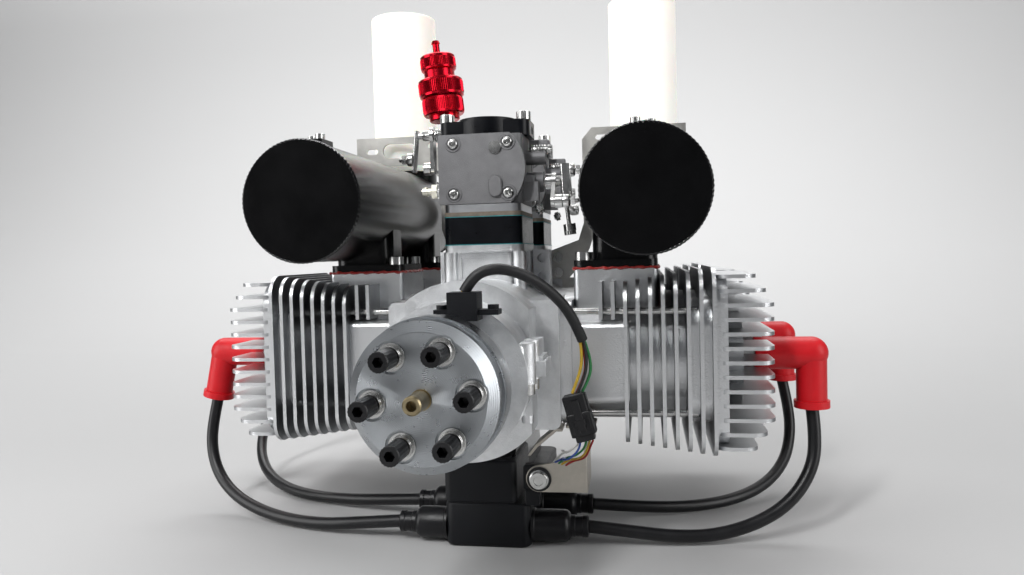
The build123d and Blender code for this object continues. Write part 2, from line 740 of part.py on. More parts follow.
# ---- throttle and choke -------------------------------------------------
THROTTLE_LEVER_X = 38.0
CHOKE_LEVER_X = -33.0
LEVER_T = 2.2
THROTTLE_REST = radians(-40)     # lever arm from straight down, towards the propeller
BALL_R = 2.2


def lever_arm(side, x, y, z, angle, reach):
    """Flat lever from a shaft down to its ball stud, turned by angle about X."""
    tip_y = y + reach * sin(angle)
    tip_z = z - reach * cos(angle)
    with BuildPart() as lever:
        with BuildSketch(outward(side, x, (y + tip_y) / 2, (z + tip_z) / 2)):
            with Locations(Location((0, 0, 0), (0, 0, -90 + side * degrees(angle)))):
                SlotCenterToCenter(reach, 6.8)
        extrude(amount=LEVER_T)
        with BuildSketch(outward(side, x, y, z)):
            Circle(5.2)
        extrude(amount=LEVER_T)
        with BuildSketch(outward(side, x + LEVER_T, tip_y, tip_z)):
            Circle(BALL_R - 0.6)
        extrude(amount=4.6)
    return lever.part


def valve(label, side, y, z, shaft_r, disc_r, inner_x, lever_x, end_x, angle, reach):
    """Shaft with its butterfly and lever: the one piece that turns."""
    lever = lever_arm(side, lever_x, y, z, angle, reach)
    with BuildPart() as turning:
        with BuildSketch(outward(side, -inner_x, y, z)):
            Circle(shaft_r)
        extrude(amount=inner_x + end_x)
        with BuildSketch(level(0, y, z - 0.75)):
            Circle(disc_r)
        extrude(amount=1.5)
        add(lever)
    save(turning.part, label)


def link(label, x, angle, reach, z):
    """Rod between the ball studs of the front and the rear lever."""
    ends = [(y + reach * sin(angle), z - reach * cos(angle)) for y in PAIRS.values()]
    side = 1 if x > 0 else -1
    with BuildPart() as rod:
        for y, height in ends:
            with BuildSketch(outward(side, abs(x), y, height)):
                Circle(4.0)
            extrude(amount=4)
        middle_x = x + side * 2
        with BuildSketch(station(ends[1][0] - 2)):
            with Locations((middle_x, ends[0][1])):
                Circle(1.5)
        extrude(amount=PAIR_PITCH - 4)
        for y, height in ends:
            with BuildSketch(outward(side, abs(x) - 1, y, height)):
                Circle(BALL_R - 0.6 + RUNNING)
            extrude(amount=6, mode=Mode.SUBTRACT)
    save(rod.part, label)


for pair, y in PAIRS.items():
    valve(f"throttle_valve_{pair}", 1, y, THROTTLE_Z, 3.0, 13.0, 17, THROTTLE_LEVER_X,
          THROTTLE_LEVER_X + 5, THROTTLE_REST, LEVER_R)
    # the choke link swings across the rear shaft, which ends flush with its lever
    valve(f"choke_valve_{pair}", -1, y, CHOKE_Z, 2.5, 14.5, 20, -CHOKE_LEVER_X,
          LEVER_T - CHOKE_LEVER_X, 0.0, CHOKE_LEVER_R)
link("throttle_link", THROTTLE_LEVER_X + LEVER_T + 0.3, THROTTLE_REST, LEVER_R, THROTTLE_Z)
link("choke_link", CHOKE_LEVER_X - LEVER_T - 0.3, 0.0, CHOKE_LEVER_R, CHOKE_Z)


# ---- crankshaft, hub and propeller fixing -------------------------------
def pin_stations(y):
    """Web faces on each side of the two crankpins of the chamber at y."""
    return [(y - 28, y - 19), (y - 3, y + 3), (y + 19, y + 28)]


with BuildPart() as crankshaft:
    for pair, y in PAIRS.items():
        for start, end in pin_stations(y):
            with BuildSketch(station(end)):
                Circle(WEB_R)
            extrude(amount=end - start)
    front_web = PAIRS["front"] - 28
    rear_web = PAIRS["rear"] + 28
    for start, end in ((SHAFT_TIP_Y, front_web), (PAIRS["front"] + 28, PAIRS["rear"] - 28),
                       (rear_web, REAR_MAIN_Y + BEARING_W + 3)):
        with BuildSketch(station(end)):
            Circle(SHAFT_R)
        extrude(amount=end - start)
save(crankshaft.part, "crankshaft")

with BuildPart() as prop_hub:
    with BuildSketch(station(HUB_REAR_Y)):
        Circle(HUB_R)
    extrude(amount=HUB_REAR_Y - HUB_FRONT_Y)
    chamfer(prop_hub.faces().sort_by(Axis.Y)[-1].edges(), 1.5)
    with BuildSketch(station(HUB_NECK_Y)):
        Circle(18)
    extrude(amount=HUB_NECK_Y - HUB_REAR_Y)
    with BuildSketch(station(HUB_NECK_Y)):
        Circle(SHAFT_R)
    extrude(amount=HUB_NECK_Y - SHAFT_TIP_Y, mode=Mode.SUBTRACT)
    with BuildSketch(station(HUB_REAR_Y)):
        with PolarLocations(BOLT_CIRCLE_R, 6, BOLT_CLOCK):
            Circle(2.5)
        Circle(STUD_ROOT_R)
    extrude(amount=HUB_REAR_Y - HUB_FRONT_Y, mode=Mode.SUBTRACT)
save(prop_hub.part, "prop_hub")

with BuildPart() as prop_washer:
    with BuildSketch(station(HUB_FRONT_Y)):
        Circle(WASHER_R)
    extrude(amount=HUB_FRONT_Y - WASHER_FRONT_Y)
    chamfer(prop_washer.faces().sort_by(Axis.Y)[0].edges(), 4.4)
    with BuildSketch(station(HUB_FRONT_Y)):
        Circle(30.5)
        Circle(29, mode=Mode.SUBTRACT)
    extrude(amount=1.2, mode=Mode.SUBTRACT)
    with BuildSketch(station(HUB_FRONT_Y)):
        with PolarLocations(BOLT_CIRCLE_R, 6, BOLT_CLOCK):
            Circle(2.6)
        Circle(STUD_ROOT_R + RUNNING)
    extrude(amount=HUB_FRONT_Y - WASHER_FRONT_Y, mode=Mode.SUBTRACT)
    with BuildSketch(station(WASHER_FRONT_Y + 1.5)):
        with PolarLocations(BOLT_CIRCLE_R, 6, BOLT_CLOCK):
            Circle(7)
    extrude(amount=1.5, mode=Mode.SUBTRACT)
save(prop_washer.part, "prop_washer")

SEAT_Y = WASHER_FRONT_Y + 1.5
HEAD_BACK_Y = -350.2
HEAD_FRONT_Y = -354.9
bolt_solids = []
for i in range(6):
    angle = radians(BOLT_CLOCK + 60 * i)
    x, z = BOLT_CIRCLE_R * cos(angle), BOLT_CIRCLE_R * sin(angle)
    bolt = cap_screw(forward(x, HEAD_BACK_Y, z), 4.25, HEAD_BACK_Y - HEAD_FRONT_Y, 2.45,
                     HUB_REAR_Y + 0.5 - HEAD_BACK_Y)
    bolt_solids += bolt.solids()
    # flat washer, spring washers, flat washer between the head and the seat
    with BuildPart() as pack:
        for rear, front, radius in ((SEAT_Y, -338.7, 6.2), (-338.9, -348.8, 5.0),
                                    (-349.0, HEAD_BACK_Y, 5.4)):
            with BuildSketch(forward(x, rear, z)):
                Circle(radius)
                Circle(2.5, mode=Mode.SUBTRACT)
            extrude(amount=rear - front)
    bolt_solids += pack.part.solids()
save(Compound(children=bolt_solids), "prop_bolts")

STUD_TIP_Y = -352.8
STUD_SHOULDER_Y = WASHER_FRONT_Y - 0.5
with BuildPart() as hub_stud:
    with BuildSketch(station(SHAFT_TIP_Y)):
        Circle(STUD_ROOT_R)
    extrude(amount=SHAFT_TIP_Y - STUD_SHOULDER_Y)
    # free end that carries the propeller or spinner
    with BuildSketch(station(STUD_SHOULDER_Y)):
        Circle(4.0)
    extrude(amount=STUD_SHOULDER_Y - STUD_TIP_Y)
    chamfer(hub_stud.faces().sort_by(Axis.Y)[0].edges(), 0.6)
    with BuildSketch(station(STUD_TIP_Y + 6)):
        Circle(2.2)
    extrude(amount=6, mode=Mode.SUBTRACT)
save(hub_stud.part, "hub_stud")


# ---- pistons and rods ---------------------------------------------------
# Front pair at top dead centre, rear pair at bottom dead centre.
def piston(label, side, y, pin_x):
    crown = pin_x + 20
    with BuildPart() as moving:
        with BuildSketch(outward(side, crown - 44, y)):
            Circle(BORE_R - RUNNING)
        extrude(amount=44)
        # ring grooves, the hollow skirt and the pin bore
        for depth in (4, 8):
            with BuildSketch(outward(side, crown - depth - 1.5, y)):
                Circle(BORE_R)
                Circle(BORE_R - 1.2, mode=Mode.SUBTRACT)
            extrude(amount=1.5, mode=Mode.SUBTRACT)
        with BuildSketch(outward(side, crown - 44, y)):
            Circle(BORE_R - 3.5)
        extrude(amount=39, mode=Mode.SUBTRACT)
        with BuildSketch(station(y + 23)):
            with Locations((side * pin_x, 0)):
                Circle(6)
        extrude(amount=46)
    save(moving.part, label)


def connecting_rod(label, side, y, big_x, pin_x):
    with BuildPart() as moving:
        with BuildSketch(station(y + 6)):
            with Locations((side * big_x, 0)):
                Circle(14)
            with Locations((side * pin_x, 0)):
                Circle(10)
            with Locations((side * (big_x + pin_x) / 2, 0)):
                Rectangle(ROD_LENGTH - 12, 11)
            with Locations((side * pin_x, 0)):
                Circle(6 + RUNNING, mode=Mode.SUBTRACT)
        extrude(amount=12)
        for y_rear in (y + 6, y - 4.5):
            with BuildSketch(station(y_rear)):
                with Locations((side * (big_x + pin_x) / 2, 0)):
                    SlotOverall(50, 6)
            extrude(amount=1.5, mode=Mode.SUBTRACT)
        # the crankpin, pressed in, stops just short of the webs
        with BuildSketch(station(y + 8 - PIN_GAP)):
            with Locations((side * big_x, 0)):
                Circle(9)
        extrude(amount=16 - 2 * PIN_GAP)
    save(moving.part, label)


for pair in PAIRS:
    big_x = THROW if pair == "front" else -THROW
    for bank, side in BANKS.items():
        y = cylinder_y(pair, bank)
        piston(f"piston_{pair}_{bank}", side, y, big_x + ROD_LENGTH)
        connecting_rod(f"connecting_rod_{pair}_{bank}", side, y, big_x, big_x + ROD_LENGTH)


# ---- ignition module, its bracket and the leads -------------------------
MODULE_HALF_X = 20.2
LOWER_TOP_Z = -76.5
UPPER_TOP_Z = -53.3
with BuildPart() as ignition_module:
    with BuildSketch(level(3.7, (MODULE_FRONT_Y + MODULE_REAR_Y) / 2, BASE_Z)):
        RectangleRounded(47.6, MODULE_REAR_Y - MODULE_FRONT_Y, 5)
    extrude(amount=LOWER_TOP_Z - BASE_Z)
    with BuildSketch(level(0, -205, LOWER_TOP_Z)):
        RectangleRounded(2 * MODULE_HALF_X, 50, 4)
    extrude(amount=UPPER_TOP_Z - LOWER_TOP_Z)
    with BuildSketch(Plane.YZ.offset(-16)):
        with BuildLine():
            Polyline((-222, UPPER_TOP_Z - 1), (-214, -48.2), (-120, -48.2), (-106, LOWER_TOP_Z - 1),
                     (-222, LOWER_TOP_Z - 1), close=True)
        make_face()
    extrude(amount=34)
    fillet(ignition_module.faces().sort_by(Axis.Z)[0].edges(), 1.5)
    with BuildSketch(forward(32, -224, -62)):
        Rectangle(14, 16)
        with Locations((1, 0)):
            Circle(2.6, mode=Mode.SUBTRACT)
    extrude(amount=6)
    with BuildSketch(level(29, -227, LOWER_TOP_Z)):
        Rectangle(8, 6)
    extrude(amount=8)
save(ignition_module.part, "ignition_module")

with BuildPart() as lead_boots:
    for bank, side in BANKS.items():
        exit_x = abs(LEAD_EXIT_X[bank])
        start_x = 27.5 if side > 0 else MODULE_HALF_X
        for y in LEAD_EXIT_Y.values():
            with BuildSketch(outward(side, start_x, y, LEAD_Z)):
                Circle(9)
            with BuildSketch(outward(side, exit_x - 8, y, LEAD_Z)):
                Circle(7.6)
            loft()
            with BuildSketch(outward(side, exit_x - 8, y, LEAD_Z)):
                Circle(5.6)
            extrude(amount=8)
save(lead_boots.part, "lead_boots")

with BuildPart() as ignition_bracket:
    with BuildSketch(forward(0, -230.2, 0)):
        with BuildLine():
            Polyline((28, -49.5), (58.5, -48), (58.5, -69), (28, -72), close=True)
        make_face()
        with Locations((33, -62)):
            Circle(2.6, mode=Mode.SUBTRACT)
    extrude(amount=1.5)
    with BuildSketch(level(58, -217.25, -69)):
        Rectangle(1.5, 28.5)
    extrude(amount=33)
    with BuildSketch(level(58, -222, -42)):
        Rectangle(3, 20)
    extrude(amount=6, mode=Mode.SUBTRACT)
    with BuildSketch(level(55, -214, -36)):
        Rectangle(16, 22)
        with Locations((2, -3)):
            Circle(2.6, mode=Mode.SUBTRACT)
    extrude(amount=1.5)
    # spacer post up to the underside of the front right barrel
    with BuildSketch(level(57, -217, -34.5)):
        Circle(4)
        Circle(2.6, mode=Mode.SUBTRACT)
    extrude(amount=10)
    with BuildSketch(outward(1, 50, cylinder_y("front", "right"))):
        Circle(36.15)
    extrude(amount=14, mode=Mode.SUBTRACT)
save(ignition_bracket.part, "ignition_bracket")

case_screw_parts = [
    cap_screw(forward(33, -231.7, -62), 4.4, 3.5, 2.5, 7),
    cap_screw(Plane(origin=(57, -217, -36), z_dir=(0, 0, -1)), 4.4, 5, 2.5, 8.5),
]
for side in (-1, 1):
    for y in LUG_STATIONS:
        case_screw_parts.append(
            cap_screw(Plane(origin=(side * LUG_X, y, -2), z_dir=(0, 0, -1)), 4.4, 5, 2.5, 13))
    for pair in PAIRS:
        y = PAIRS[pair] - side * BANK_OFFSET / 2
        for dy in (-18, 18):
            case_screw_parts.append(
                cap_screw(level(side * 57, y + dy, PORT_TOP_Z + 1 + FLANGE_T), 4.2, 4.5, 2.5, 4.9))
    for z in BRACKET_SCREW_Z:
        case_screw_parts.append(cap_screw(forward(side * 29, BRACKET_Y - 3, z), 3.6, 3, 2.5, 10))
# four long studs through each cylinder's fins, from the crankcase into the head
for pair in PAIRS:
    for bank, side in BANKS.items():
        y = cylinder_y(pair, bank)
        for dy, z in STUDS:
            with BuildPart() as stud:
                with BuildSketch(outward(side, STUD_FOOT_X, y + dy, z)):
                    Circle(STUD_R)
                extrude(amount=STUD_END_X - STUD_FOOT_X)
            case_screw_parts.append(stud.part)
for x, z in COVER_SCREWS:
    case_screw_parts.append(cap_screw(
        Plane(origin=(x, CASE_REAR_Y + COVER_T, z), x_dir=(-1, 0, 0), z_dir=(0, 1, 0)),
        4.2, 4, 2.5, 7.9))
save(Compound(children=[solid for screw in case_screw_parts for solid in screw.solids()]),
     "case_screws")

LEAD_MIDDLES = {
    ("front", "right"): [
        (182.3, -192, -46.5), (179.5, -196, -63.5), (167.5, -202, -80), (149, -208, -90.5),
        (126.5, -214, -95.8), (104, -218, -95.8), (81, -220, -93)],
    ("rear", "right"): [
        (184, -94, -47), (184.3, -101, -64.5), (178.5, -113, -80.5), (164, -130, -91.5),
        (142, -148, -96.3), (116, -162, -96.8), (86.5, -173, -94.3)],
    ("front", "left"): [
        (-190.3, -169.5, -44.5), (-190.5, -173, -60), (-184.5, -178.5, -75), (-171, -186, -87),
        (-151, -195, -94), (-126, -205, -96.9), (-99, -214, -96.3), (-72.5, -219, -93)],
    ("rear", "left"): [
        (-191.5, -73, -45), (-195.5, -82, -59), (-194.5, -96, -72.5), (-186.5, -114, -84),
        (-171, -132, -92.5), (-149, -148, -96.6), (-124, -160, -96.9), (-98, -169, -95.5),
        (-72.5, -176, -92.8)],
}
for (pair, bank), middles in LEAD_MIDDLES.items():
    start = cap_mouth(pair, bank).origin
    end = (LEAD_EXIT_X[bank], LEAD_EXIT_Y[pair], LEAD_Z)
    route = [tuple(start), *middles, end]
    save(tube_along(route, LEAD_R), f"ht_lead_{pair}_{bank}")


# ---- crank sensor and its cable -----------------------------------------
with BuildPart() as hall_sensor:
    with BuildSketch(level(9.5, -296, 28.9)):
        Rectangle(14, 12)
    extrude(amount=13)
    with BuildSketch(level(10.8, -296, 31.5)):
        Rectangle(30, 9)
    extrude(amount=2.5)
    for x in (-1.2, 22.8):
        with BuildSketch(level(x, -296, 34)):
            Circle(2.6)
        extrude(amount=2)
save(hall_sensor.part, "hall_sensor")

CABLE_ROUTE = [(9.5, -296, 41.9), (13, -296, 47.8), (19.5, -295.2, 51.8), (28.5, -292.5, 52),
               (39, -287, 47.5), (49, -280, 39), (56.5, -273, 28.5), (60.5, -267, 16.5),
               (60.2, -262.5, 4.5), (57.4, -260.6, -4), (54.8, -260, -10.7)]
save(tube_along(CABLE_ROUTE, CABLE_R), "sensor_cable")

with BuildPart() as cable_connectors:
    block = Plane(origin=(54.8, -260, -10.9), x_dir=(cos(radians(15)), 0, sin(radians(15))),
                  z_dir=(sin(radians(15)), 0, -cos(radians(15))))
    with BuildSketch(block):
        RectangleRounded(12.5, 8, 1)
    extrude(amount=24)
save(cable_connectors.part, "cable_connectors")


# ---- fuel filter --------------------------------------------------------
FILTER_BASE = (-43.5, -108, 149)
FILTER_LEAN = 5.5
with BuildPart() as fuel_filter:
    axis = Vector(-sin(radians(FILTER_LEAN)), 0, cos(radians(FILTER_LEAN)))
    foot = Plane(origin=FILTER_BASE, z_dir=axis)
    height = 0.0
    for radius, length in ((3, 3), (10.5, 4), (14, 12), (15.2, 12.5), (10.5, 6), (12, 10.5),
                           (2.4, 8), (3.1, 2.5)):
        with BuildSketch(foot.offset(height)):
            Circle(radius)
        extrude(amount=length)
        height += length
save(fuel_filter.part, "fuel_filter")
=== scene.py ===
"""Looks of the four-cylinder aircraft engine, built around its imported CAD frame.

Shapes are written in millimetres and scaled once, where the mesh is made.
"""
import json
import math

import bmesh
import bpy
from mathutils import Matrix, Vector


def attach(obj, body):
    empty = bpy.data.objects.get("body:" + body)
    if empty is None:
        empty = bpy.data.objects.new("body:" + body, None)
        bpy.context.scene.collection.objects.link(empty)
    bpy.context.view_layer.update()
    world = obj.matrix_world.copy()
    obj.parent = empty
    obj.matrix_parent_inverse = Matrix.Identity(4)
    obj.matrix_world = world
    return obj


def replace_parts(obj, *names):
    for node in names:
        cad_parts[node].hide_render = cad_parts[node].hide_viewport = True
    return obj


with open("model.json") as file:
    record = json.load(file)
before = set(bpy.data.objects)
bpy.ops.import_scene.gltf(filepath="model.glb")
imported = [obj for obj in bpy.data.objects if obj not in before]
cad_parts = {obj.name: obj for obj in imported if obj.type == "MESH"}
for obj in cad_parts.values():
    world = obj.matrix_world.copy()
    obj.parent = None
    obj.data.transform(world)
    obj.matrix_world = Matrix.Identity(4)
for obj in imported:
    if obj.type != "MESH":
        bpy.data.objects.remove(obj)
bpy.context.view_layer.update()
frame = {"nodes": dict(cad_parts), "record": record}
NODES = frame["nodes"]
MM = 0.001
PAIR_Y = {"front": -179.0, "rear": -80.0}
BANKS = {"right": 1, "left": -1}
BANK_OFFSET = 22.0
FRONT = (0, -1, 0)
UP = (0, 0, 1)


def cylinder_y(pair, bank):
    return PAIR_Y[pair] - BANKS[bank] * BANK_OFFSET / 2


# ---- camera ---------------------------------------------------------------
CAMERA_PLACE = Vector((91.1, -652.2, 57.8)) * MM
YAW, PITCH, ROLL = (math.radians(a) for a in (9.483, -2.275, -1.469))
LENS_MM = 28.15


def make_camera():
    look = Vector((-math.sin(YAW) * math.cos(PITCH), math.cos(YAW) * math.cos(PITCH),
                   math.sin(PITCH)))
    level = Vector((math.cos(YAW), math.sin(YAW), 0))
    above = level.cross(look)
    right = math.cos(ROLL) * level + math.sin(ROLL) * above
    top = -math.sin(ROLL) * level + math.cos(ROLL) * above
    data = bpy.data.cameras.new("camera")
    data.lens = LENS_MM
    data.sensor_width = 36
    data.clip_start = 0.02
    camera = bpy.data.objects.new("camera", data)
    bpy.context.scene.collection.objects.link(camera)
    turn = Matrix((right, top, -look)).transposed().to_4x4()
    camera.matrix_world = Matrix.Translation(CAMERA_PLACE) @ turn
    bpy.context.scene.camera = camera


make_camera()


# ---- materials ------------------------------------------------------------
def shader(name, color, metallic=0.0, rough=0.5, vary=0.12, patch=60, rough_vary=0.12,
           bump=0.0, grain=900, **settings):
    """Principled material with patchy colour, uneven roughness and a fine grain.

    patch and grain are noise scales per metre."""
    made = bpy.data.materials.new(name)
    made.use_nodes = True
    nodes, links = made.node_tree.nodes, made.node_tree.links
    surface = nodes["Principled BSDF"]
    surface.inputs["Metallic"].default_value = metallic
    for socket, value in settings.items():
        surface.inputs[socket.replace("_", " ")].default_value = value
    where = nodes.new("ShaderNodeTexCoord").outputs["Object"]
    patches = nodes.new("ShaderNodeTexNoise")
    patches.inputs["Scale"].default_value = patch
    patches.inputs["Detail"].default_value = 8
    patches.inputs["Roughness"].default_value = 0.62
    links.new(where, patches.inputs["Vector"])
    ramp = nodes.new("ShaderNodeValToRGB")
    ramp.color_ramp.elements[0].position = 0.3
    ramp.color_ramp.elements[1].position = 0.72
    ramp.color_ramp.elements[0].color = (*[c * (1 - vary) for c in color], 1)
    ramp.color_ramp.elements[1].color = (*[min(1, c * (1 + vary)) for c in color], 1)
    links.new(patches.outputs["Fac"], ramp.inputs["Fac"])
    links.new(ramp.outputs["Color"], surface.inputs["Base Color"])
    spread = nodes.new("ShaderNodeMapRange")
    spread.inputs["To Min"].default_value = max(0.02, rough - rough_vary)
    spread.inputs["To Max"].default_value = min(1, rough + rough_vary)
    links.new(patches.outputs["Fac"], spread.inputs["Value"])
    links.new(spread.outputs["Result"], surface.inputs["Roughness"])
    if bump:
        fine = nodes.new("ShaderNodeTexNoise")
        fine.inputs["Scale"].default_value = grain
        fine.inputs["Detail"].default_value = 4
        links.new(where, fine.inputs["Vector"])
        raised = nodes.new("ShaderNodeBump")
        raised.inputs["Strength"].default_value = bump
        raised.inputs["Distance"].default_value = 0.0004
        links.new(fine.outputs["Fac"], raised.inputs["Height"])
        links.new(raised.outputs["Normal"], surface.inputs["Normal"])
    return made


def painted_rim_highlight(made, axis, rim_highlight_color, rim_rough):
    """Rims with a painted highlight: faces turned away from the axis get a brighter colour and are
    smoother, while faces along the axis keep the material's darker colour.
    """
    nodes, links = made.node_tree.nodes, made.node_tree.links
    surface = nodes["Principled BSDF"]
    normal = nodes.new("ShaderNodeTexCoord").outputs["Normal"]
    split = nodes.new("ShaderNodeSeparateXYZ")
    links.new(normal, split.inputs["Vector"])
    size = nodes.new("ShaderNodeMath")
    size.operation = "ABSOLUTE"
    links.new(split.outputs[axis], size.inputs[0])
    highlight_mask = nodes.new("ShaderNodeMapRange")
    highlight_mask.inputs["From Min"].default_value = 0.75
    highlight_mask.inputs["From Max"].default_value = 0.25
    links.new(size.outputs["Value"], highlight_mask.inputs["Value"])
    # mix the painted highlight colour and the smoother roughness into the rims
    for socket, value in (("Base Color", (*rim_highlight_color, 1)), ("Roughness", rim_rough)):
        source = surface.inputs[socket].links[0].from_socket
        mix = nodes.new("ShaderNodeMix")
        mix.data_type = "RGBA" if socket == "Base Color" else "FLOAT"
        first, second = (6, 7) if socket == "Base Color" else (2, 3)
        links.new(highlight_mask.outputs["Result"], mix.inputs["Factor"])
        links.new(source, mix.inputs[first])
        mix.inputs[second].default_value = value
        links.new(mix.outputs[2 if socket == "Base Color" else 0], surface.inputs[socket])
    return made


def turned(made, scale, strength):
    """Concentric tool marks round the crank axis."""
    nodes, links = made.node_tree.nodes, made.node_tree.links
    surface = nodes["Principled BSDF"]
    where = nodes.new("ShaderNodeTexCoord").outputs["Object"]
    rings = nodes.new("ShaderNodeTexWave")
    rings.wave_type = "RINGS"
    rings.rings_direction = "Y"
    rings.inputs["Scale"].default_value = scale
    rings.inputs["Distortion"].default_value = 0.6
    rings.inputs["Detail"].default_value = 3
    links.new(where, rings.inputs["Vector"])
    raised = nodes.new("ShaderNodeBump")
    raised.inputs["Strength"].default_value = strength
    raised.inputs["Distance"].default_value = 0.0001
    links.new(rings.outputs["Fac"], raised.inputs["Height"])
    links.new(raised.outputs["Normal"], surface.inputs["Normal"])
    around = nodes.new("ShaderNodeTangent")
    around.direction_type = "RADIAL"
    around.axis = "Y"
    links.new(around.outputs["Tangent"], surface.inputs["Tangent"])
    return made


# name, colour, metallic, roughness, colour variation, patch, roughness variation, bump, grain
M = {
    "cast_aluminium": shader("cast_aluminium", (0.72, 0.73, 0.74), 1, 0.36, 0.14, 90, 0.12,
                             0.55, 1500),
    # finned_aluminium: the dark base colour is painted shade on the fin flats, and the brighter
    # rim colour is a painted highlight
    "finned_aluminium": painted_rim_highlight(
        shader("finned_aluminium", (0.31, 0.32, 0.33), 1, 0.40, 0.2, 80, 0.12, 0.45, 1300),
        "X", (0.74, 0.75, 0.76), 0.3),
    "machined_aluminium": shader("machined_aluminium", (0.74, 0.75, 0.77), 1, 0.3, 0.05, 150,
                                 0.06, 0.12, 3000),
    "turned_aluminium": turned(
        shader("turned_aluminium", (0.40, 0.42, 0.44), 1, 0.28, 0.05, 200, 0.03,
               Anisotropic=1.0), 420, 0.3),
    "black_anodised": shader("black_anodised", (0.0025, 0.003, 0.0045), 0, 0.3, 0.3, 120, 0.1,
                             0.15, 2500, Specular_IOR_Level=0.22),
    "brown_insulator": shader("brown_insulator", (0.16, 0.13, 0.10), 0, 0.6, 0.25, 300, 0.1,
                              0.4, 2500),
    "teal_gasket": shader("teal_gasket", (0.02, 0.20, 0.22), 0, 0.55, 0.2, 300, 0.1, 0.3, 2500),
    "carburettor_zinc": shader("carburettor_zinc", (0.17, 0.17, 0.175), 0.6, 0.5, 0.12, 120,
                               0.08, 0.5, 2200),
    "screw_steel": shader("screw_steel", (0.55, 0.55, 0.54), 1, 0.24, 0.12, 260, 0.06, 0.02, 3500),
    "lever_steel": shader("lever_steel", (0.60, 0.60, 0.59), 1, 0.25, 0.1, 240, 0.06, 0.02, 3500),
    "brass": shader("brass", (0.62, 0.47, 0.20), 1, 0.28, 0.15, 260, 0.1, 0.12, 3000),
    "plug_steel": shader("plug_steel", (0.55, 0.55, 0.55), 1, 0.3, 0.1, 260, 0.1, 0.1, 3000),
    "red_silicone": shader("red_silicone", (0.56, 0.004, 0.010), 0, 0.42, 0.12, 60, 0.1, 0.16,
                           1800, Subsurface_Weight=0.15, Subsurface_Scale=0.003,
                           Specular_IOR_Level=0.35),
    "lead_jacket": shader("lead_jacket", (0.005, 0.005, 0.006), 0, 0.36, 0.3, 120, 0.1, 0.15,
                          2200, Specular_IOR_Level=0.4),
    "muffler_black": shader("muffler_black", (0.0008, 0.0008, 0.001), 0, 0.22, 0.5, 45, 0.08,
                            0.12, 1600, Specular_IOR_Level=0.32),
    "red_sealant": shader("red_sealant", (0.28, 0.012, 0.008), 0, 0.35, 0.2, 200, 0.1, 0.35, 900,
                          Coat_Weight=0.4, Coat_Roughness=0.2),
    # white_ptfe: the emission is a painted glow that makes the white tubes brighter than their
    # lighting
    "white_ptfe": shader("white_ptfe", (0.93, 0.92, 0.86), 0, 0.42, 0.03, 35, 0.1, 0.1, 900,
                         Subsurface_Weight=0.35, Subsurface_Scale=0.006,
                         Emission_Color=(1.0, 0.98, 0.90, 1), Emission_Strength=0.16),
    "sheet_steel": shader("sheet_steel", (0.58, 0.57, 0.54), 1, 0.34, 0.12, 90, 0.12, 0.14, 2500),
    "module_plastic": shader("module_plastic", (0.004, 0.0045, 0.006), 0, 0.42, 0.2, 90, 0.1,
                             0.4, 3200, Specular_IOR_Level=0.22),
    "gloss_black": shader("gloss_black", (0.002, 0.002, 0.0025), 0, 0.16, 0.3, 60, 0.06, 0.1,
                          600),
    "boot_rubber": shader("boot_rubber", (0.003, 0.003, 0.004), 0, 0.34, 0.3, 150, 0.12, 0.25,
                          1800, Specular_IOR_Level=0.35),
    "cable_sleeve": shader("cable_sleeve", (0.006, 0.006, 0.007), 0, 0.4, 0.3, 200, 0.1, 0.4,
                           2600, Specular_IOR_Level=0.4),
    "connector_plastic": shader("connector_plastic", (0.004, 0.004, 0.005), 0, 0.36, 0.2, 120,
                                0.1, 0.2, 2600, Specular_IOR_Level=0.4),
    "red_anodised": shader("red_anodised", (0.50, 0.008, 0.02), 1, 0.27, 0.1, 160, 0.06, 0.03,
                           2600),
    "crank_steel": shader("crank_steel", (0.50, 0.50, 0.51), 1, 0.3, 0.08, 160, 0.1, 0.1, 2500),
    "black_oxide": shader("black_oxide", (0.004, 0.004, 0.005), 0.2, 0.3, 0.3, 200, 0.1, 0.2,
                          2600, Specular_IOR_Level=0.5),
    "piston_aluminium": shader("piston_aluminium", (0.62, 0.62, 0.62), 1, 0.35, 0.1, 160, 0.1,
                               0.15, 2500),
    "rod_steel": shader("rod_steel", (0.42, 0.42, 0.42), 1, 0.4, 0.1, 160, 0.1, 0.2, 2000),
    "reed_plastic": shader("reed_plastic", (0.03, 0.03, 0.03), 0, 0.5, 0.2, 160, 0.1, 0.2, 2000),
    "stud_steel": shader("stud_steel", (0.34, 0.28, 0.17), 1, 0.32, 0.2, 260, 0.1, 0.12, 3000),
    "pale_nickel": shader("pale_nickel", (0.80, 0.77, 0.66), 1, 0.3, 0.1, 260, 0.1, 0.1, 3000),
    "bracket_steel": shader("bracket_steel", (0.46, 0.43, 0.38), 1, 0.4, 0.14, 70, 0.12, 0.14,
                            2200),
}
WIRE_COLORS = {
    "yellow": (0.50, 0.33, 0.02), "black": (0.008, 0.008, 0.008), "red": (0.32, 0.008, 0.008),
    "green": (0.01, 0.17, 0.04), "blue": (0.012, 0.05, 0.24), "white": (0.55, 0.55, 0.53),
}
for tint, tone in WIRE_COLORS.items():
    M[f"wire_{tint}"] = shader(f"wire_{tint}", tone, 0, 0.35, 0.15, 200, 0.08, 0.1, 2000)

# nodes whose look differs from their material slot's
OWN_FINISH = {"prop_washer": "turned_aluminium", "prop_hub": "turned_aluminium",
              "hub_stud": "stud_steel", "fuel_inlets": "pale_nickel"}
for subpart in frame["record"]["subparts"]:
    chosen = OWN_FINISH.get(subpart["node"], subpart["material_slot"])
    for holder in NODES[subpart["node"]].material_slots:
        holder.material = M[chosen]


